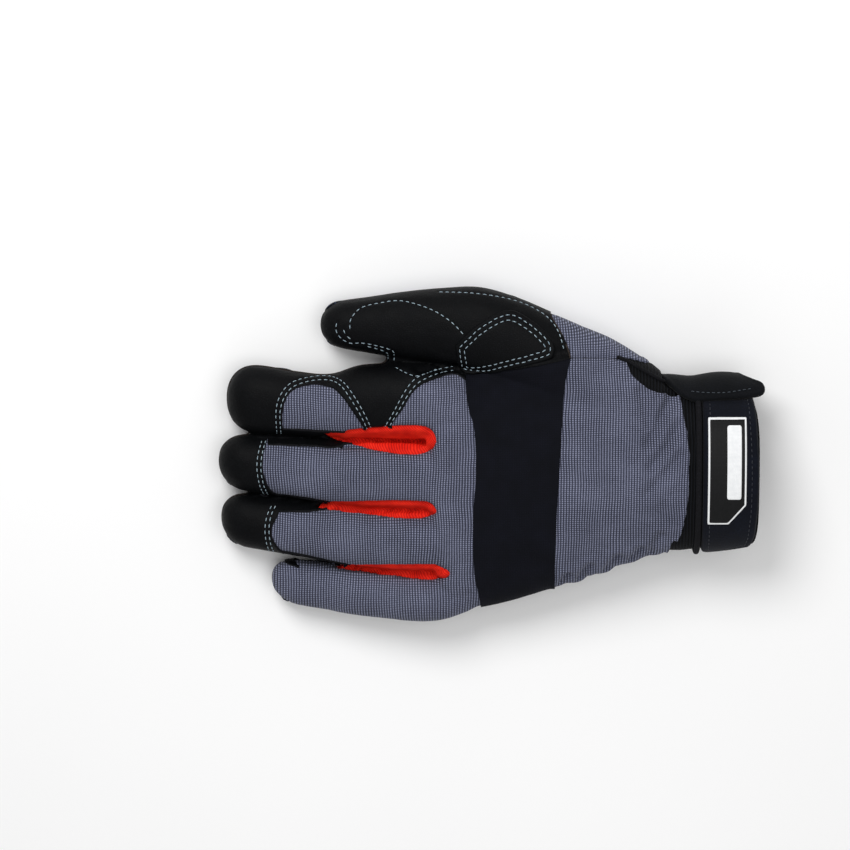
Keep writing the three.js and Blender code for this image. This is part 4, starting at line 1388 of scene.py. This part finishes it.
# Grip patches under the fingertips, the palm and the heel of the hand: how far the little finger's starts
# further back, and the rows of stitches at these distances from an edge
PINKY_PATCH_BACK = 1.5
PATCH_ROWS = (1.8, 4.1)
PALM_PATCH_ROWS = (1.8, 4.1, 6.4)
WEB_ROWS = (2.0, 4.2)
patches = {
    "palm_patch": rounded(
        -WEB_LINE + PALM_PATCH_MARGIN, BAND_BACK - PALM_PATCH_MARGIN,
        -0.42 * PALM_WIDTH, 0.34 * PALM_WIDTH, 0.12 * PALM_WIDTH,
    ),
    "heel_patch": rounded(
        BAND_BACK - HEEL_PATCH_OVERLAP, CUFF_SEAM - HEEL_PATCH_MARGIN,
        -0.3 * PALM_WIDTH, 0.3 * PALM_WIDTH, 0.1 * PALM_WIDTH,
    ),
}
tips = {"thumb": (-THUMB_REACH, thumb_section)}
tips.update({name: (-row[0], finger_section(name)) for name, row in FINGERS.items()})
for name, (end, section) in tips.items():
    y, half, _, _ = section(end + TIP_PATCH / 2)
    half -= TIP_INSET
    end += PINKY_PATCH_BACK if name == "pinky" else 0
    patches[name + "_tip_patch"] = rounded(
        end + TIP_INSET, end + TIP_PATCH, y - half, y + half, 0.62 * half,
    )
patch_rows = []
for name, outline in patches.items():
    rows = PALM_PATCH_ROWS if name == "palm_patch" else PATCH_ROWS
    patch = Sewn(surface, from_above, outline, 0.3, 1.0, 0.9, rows, facing=(0, 0, -1))
    finish_piece(mesh_object(name + "_grip", *patch.body()), [PATCH], (name,))
    patch_rows += [patch.inner_row(row) for row in rows]
stitches("patch_stitches", patch_rows, sink=0.2)

# The leather patch over the web of the thumb
WEB_PATCH = [
    (455, 346), (478, 325), (508, 311), (534, 323), (552, 341), (554, 352), (546, 360), (500, 371),
    (464, 373),
]
web_outline = np.array([hit[:2] for hit, _ in seen_line(dressed_tree, WEB_PATCH + WEB_PATCH[:1], 90)][:-1])
web_patch = Sewn(surface, from_above, web_outline, 0.3, 1.0, 0.9, WEB_ROWS, facing=(0, 0, 1))
web_piece = mesh_object("thumb_web_leather", *web_patch.body())
finish_piece(web_piece, [LEATHER], ("thumb_web_patch",))
stitches("web_patch_stitches", [web_patch.inner_row(row) for row in WEB_ROWS])

# Places round the wrist: the turn of a section, and the way along its girth from the middle of the back
turns = np.linspace(-math.pi / 2, 1.5 * math.pi, 721)
wrist = palm_section(STRAP_FRONT + 12)
girth_y = wrist[0] + np.sign(np.cos(turns)) * np.abs(np.cos(turns)) ** (2 / BULGE) * (wrist[1] + STRAP_TOP)
girth_z = wrist[2] + np.sign(np.sin(turns)) * np.abs(np.sin(turns)) ** (2 / BULGE) * (wrist[3] + STRAP_TOP)
girth = np.concatenate(([0], np.cumsum(np.hypot(np.diff(girth_y), np.diff(girth_z)))))
girth = np.interp(math.pi / 2, turns, girth) - girth


def way_round(degrees):
    """The way along the wrist's girth to a turn of it: 90 is the middle of the back, 0 the thumb side."""
    return float(np.interp(math.radians(degrees), turns, girth))


def unrolled(points):
    """The wrist laid flat: X, and the way round from the middle of the back towards the thumb."""
    y = (points[:, 1] - wrist[0]) / wrist[1]
    z = (points[:, 2] - wrist[2]) / wrist[3]
    c = np.sign(y) * np.abs(y) ** (BULGE / 2)
    d = np.sign(z) * np.abs(z) ** (BULGE / 2)
    turn = np.arctan2(d, c)
    turn = np.where(turn < -math.pi / 2, turn + 2 * math.pi, turn)
    return np.column_stack((points[:, 0], np.interp(turn, turns, girth)))


# The strap over the back of the wrist: its free end rounded, its back edge bowed
low_end, high_end = way_round(173), way_round(-14)
strap_outline = np.vstack((
    rounded(STRAP_FRONT, STRAP_BACK - 3, low_end, high_end, 6)[8:24],
    smooth_line([(STRAP_BACK - 3, low_end + 6), (STRAP_BACK - 0.6, low_end + 16), (STRAP_BACK + 0.7, 0),
                 (STRAP_BACK - 0.8, 0.7 * high_end), (STRAP_BACK - 3, high_end)], 30)[1:],
))
strap = Sewn(surface, unrolled, strap_outline, 0.35, 2.15, 1.6, (3.2,), 0.3)
finish_piece(mesh_object("wrist_strap_tape", *strap.body()), [STRAP], ("wrist_strap",))
stitches("strap_stitches", [strap.inner_row(3.2)], DARK_THREAD, 2.6, 1.9, 0.4)

# The label sewn on the strap: a white border, a black ground and a white panel to write on
label = np.array([(95.2, 32.4), (112.9, 32.4), (112.9, -5.5), (104.9, -14.5), (95.2, -14.5)])
label_ground = np.array([(95.95, 31.65), (112.15, 31.65), (112.15, -5.2), (104.6, -13.75), (95.95, -13.75)])
for name, outline, base, height, ink in (
    ("label_border", label, 2.45, 0.5, LABEL_WHITE),
    ("label_ground", label_ground, 2.6, 0.5, LABEL_BLACK),
    ("write_on_panel", rounded(103.9, 110.6, -2.8, 29.4, 1.0), 2.8, 0.45, LABEL_WHITE),
):
    piece = Sewn(surface, from_above, outline, base, height, 0.4, facing=(0, 0, 1))
    finish_piece(mesh_object(name, *piece.body()), [ink], ("strap_label",))


def strip_of(outline, turn, step=1.0):
    """A strip cut from flat cloth, with rings near its edge to round it over: its places and triangles."""
    low, high = outline.min(axis=0) - 2 * step, outline.max(axis=0) + 2 * step
    xs, ys = np.arange(low[0], high[0], step), np.arange(low[1], high[1], step)
    grid = np.array([(x, y, 0.0) for x in xs for y in ys])
    faces = []
    wide = len(ys)
    for i in range(len(xs) - 1):
        for j in range(wide - 1):
            k = i * wide + j
            faces += [(k, k + wide, k + wide + 1), (k, k + wide + 1, k + 1)]
    faces = np.array(faces)
    for level in (0.0, 0.4 * turn, turn):
        grid, faces = cut(grid, faces, inside_plan(outline, grid[:, :2]) - level)
    faces = faces[inside_plan(outline, grid[faces].mean(axis=1)[:, :2]) > 0]
    grid, faces = Sewn.used_only(grid, faces)
    return grid[:, :2], faces


# The closure flap: it comes round the thumb side of the wrist, stands off it and lies on the strap's end
FLAP_THICK = 2.2
FLAP_TURN = 1.1  # how far its edge is rounded over
FLAP_GROOVE = 2.6  # how far its stitched groove lies from the edge
FLAP_SECTION = np.array([
    (39.5, 33.5), (43.0, 31.3), (46.2, 27.8), (48.4, 23.0), (48.8, 17.5), (46.6, 12.0), (42.0, 7.6),
    (35.0, 4.6), (27.0, 2.6), (20.0, 1.9),
])
flap_line = smooth_line(FLAP_SECTION, 90)
flap_run = np.concatenate(([0], np.cumsum(np.hypot(*np.diff(flap_line, axis=0).T))))
flap_outline = np.vstack((
    smooth_line([
        (73, 18), (77, 11), (81, 6), (85.5, 3.0), (91, 1.0), (99, 0.4), (107, 0.9), (114, 2.2),
        (119.5, 3.4), (121.8, 5.6), (121.9, 9.0), (120.2, 11.5), (116.5, 13.8), (112.5, 17.5),
        (110, 23.5),
    ], 80),
    [(109, flap_run[-1] - 3), (107, flap_run[-1]), (86, flap_run[-1]), (83, flap_run[-1] - 3), (77, 30)],
))
flat, faces = strip_of(flap_outline, FLAP_TURN)
spots = np.column_stack((
    flat[:, 0],
    np.interp(flat[:, 1], flap_run, flap_line[:, 0]),
    np.interp(flat[:, 1], flap_run, flap_line[:, 1]),
))
# It bulges over the strap and dips in front of it.
spots[:, 1] += 1.0 * np.exp(-(((flat[:, 0] - 103) / 9) ** 2))
spots[:, 1] -= 0.9 * np.exp(-(((flat[:, 0] - 88) / 6) ** 2))
outs = normals_of(spots, faces)
if outs[:, 1].mean() < 0:
    faces = faces[:, ::-1]
    outs = -outs
away = np.maximum(inside_plan(flap_outline, flat), 0)
rise = FLAP_THICK * (0.3 + 0.7 * np.sqrt(1 - (1 - np.minimum(away / FLAP_TURN, 1)) ** 2))
rise -= 0.25 * np.exp(-(((away - FLAP_GROOVE) / 0.5) ** 2))
flap_points, flap_faces = shell(spots, faces, outs, rise, -FLAP_THICK / 2)
flap_piece = mesh_object("closure_flap_tape", flap_points, flap_faces)
finish_piece(flap_piece, [FLAP], ("closure_flap",))
flap_tree = skin_tree(flap_points, np.array([face[:3] for face in flap_faces[: len(faces)]]))
flap_row = seen_line(flap_tree, [(690, 391), (705, 392.5), (725, 392.5), (742, 390), (752, 388.5)], 60)
stitches("flap_stitches", [flap_row], FLAP_THREAD, 2.4, 1.7, 0.4)


def rope(points, radius, sides=10):
    """A closed round tube along a line of points."""
    points = np.asarray(points, float)
    along = np.gradient(points, axis=0)
    along /= np.linalg.norm(along, axis=1, keepdims=True)
    side = np.cross(along[0], (0.0, 0.0, 1.0))
    if np.linalg.norm(side) < 0.2:
        side = np.cross(along[0], (0.0, 1.0, 0.0))
    out, faces = [], []
    for i, (spot, way) in enumerate(zip(points, along)):
        side = side - way * (side @ way)
        side /= np.linalg.norm(side)
        other = np.cross(way, side)
        for j in range(sides):
            angle = 2 * math.pi * j / sides
            out.append(spot + radius * (side * math.cos(angle) + other * math.sin(angle)))
    for i in range(len(points) - 1):
        for j in range(sides):
            k = (j + 1) % sides
            faces.append([i * sides + j, (i + 1) * sides + j, (i + 1) * sides + k, i * sides + k])
    faces.append(list(range(sides)))
    faces.append([(len(points) - 1) * sides + j for j in reversed(range(sides))])
    return out, faces


def ring_round(x, degrees, grow):
    """Points round the wrist at one place along X."""
    y0, a, z0, b = palm_section(x)
    c, d = np.cos(np.radians(degrees)), np.sin(np.radians(degrees))
    return np.column_stack((
        np.full(len(degrees), x),
        y0 + np.sign(c) * np.abs(c) ** (2 / BULGE) * (a + grow),
        z0 + np.sign(d) * np.abs(d) ** (2 / BULGE) * (b + grow),
    ))


binding = ring_round(STRAP_FRONT - 1.9, np.linspace(-14, 194, 120), 1.5)
finish_piece(mesh_object("strap_binding", *rope(binding, 1.45)), [BINDING])
slit_edge = [spot + out * 0.5 for spot, out in seen_line(
    dressed_tree, [(617, 357), (628, 362), (640, 369), (654, 377), (668, 384), (682, 391), (690, 394)], 60,
)]
finish_piece(mesh_object("slit_binding", *rope(slit_edge, 0.9)), [BINDING])


def seam_runs(*pairs):
    """The seams between pairs of panels, each as runs of point numbers in order."""
    wanted = {frozenset(NAMES.index(name) for name in pair) for pair in pairs}
    links = {}
    for i in seam:
        if frozenset((int(panel[owner[i]]), int(panel[owner[i + 1]]))) in wanted:
            a, b = map(int, edge_list[i])
            links.setdefault(a, []).append(b)
            links.setdefault(b, []).append(a)
    runs, seen = [], set()
    starts = sorted(links, key=lambda vertex: (len(links[vertex]) != 1, vertex))
    for start in starts:
        if start in seen:
            continue
        run = [start]
        seen.add(start)
        while True:
            ahead = [v for v in links[run[-1]] if v not in seen]
            if not ahead:
                break
            run.append(ahead[0])
            seen.add(ahead[0])
        if len(run) > 12:
            runs.append(run)
    return runs


def smoothed(values, rounds):
    values = np.array(values, float)
    for _ in range(rounds):
        values[1:-1] = (values[:-2] + 2 * values[1:-1] + values[2:]) / 4
    return values


# The raw edges of the leather, standing up along the outline of the fingers and the thumb
raw_points, raw_faces = [], []
for run in seam_runs(*[("palm_leather", name) for name in (
    "index_back_leather", "middle_back_leather", "ring_back_leather", "thumb_leather",
)], ("thumb_leather", "thumb_side_knit")):
    line = smoothed(skin[run] + normals[run] * 0.25, 12)[::2]
    out, faces = rope(line, 0.42, 6)
    raw_faces += [[k + len(raw_points) for k in face] for face in faces]
    raw_points += list(out)
finish_piece(mesh_object("leather_raw_edges", raw_points, raw_faces), [EDGE])


FLOOR = 3000.0  # half its side
floor_corners = [(-FLOOR, -FLOOR, 0), (FLOOR, -FLOOR, 0), (FLOOR, FLOOR, 0), (-FLOOR, FLOOR, 0)]
floor = mesh_object("floor", floor_corners, [(0, 1, 2, 3)])
paper, tree, where = new_material("studio_paper")
white = steps(tree, cloud(tree, where, 300), [(0.3, "#fafafa"), (0.7, "#fdfdfd")])
output(tree, {"Base Color": white, "Roughness": 0.9})
floor.data.materials.append(paper)
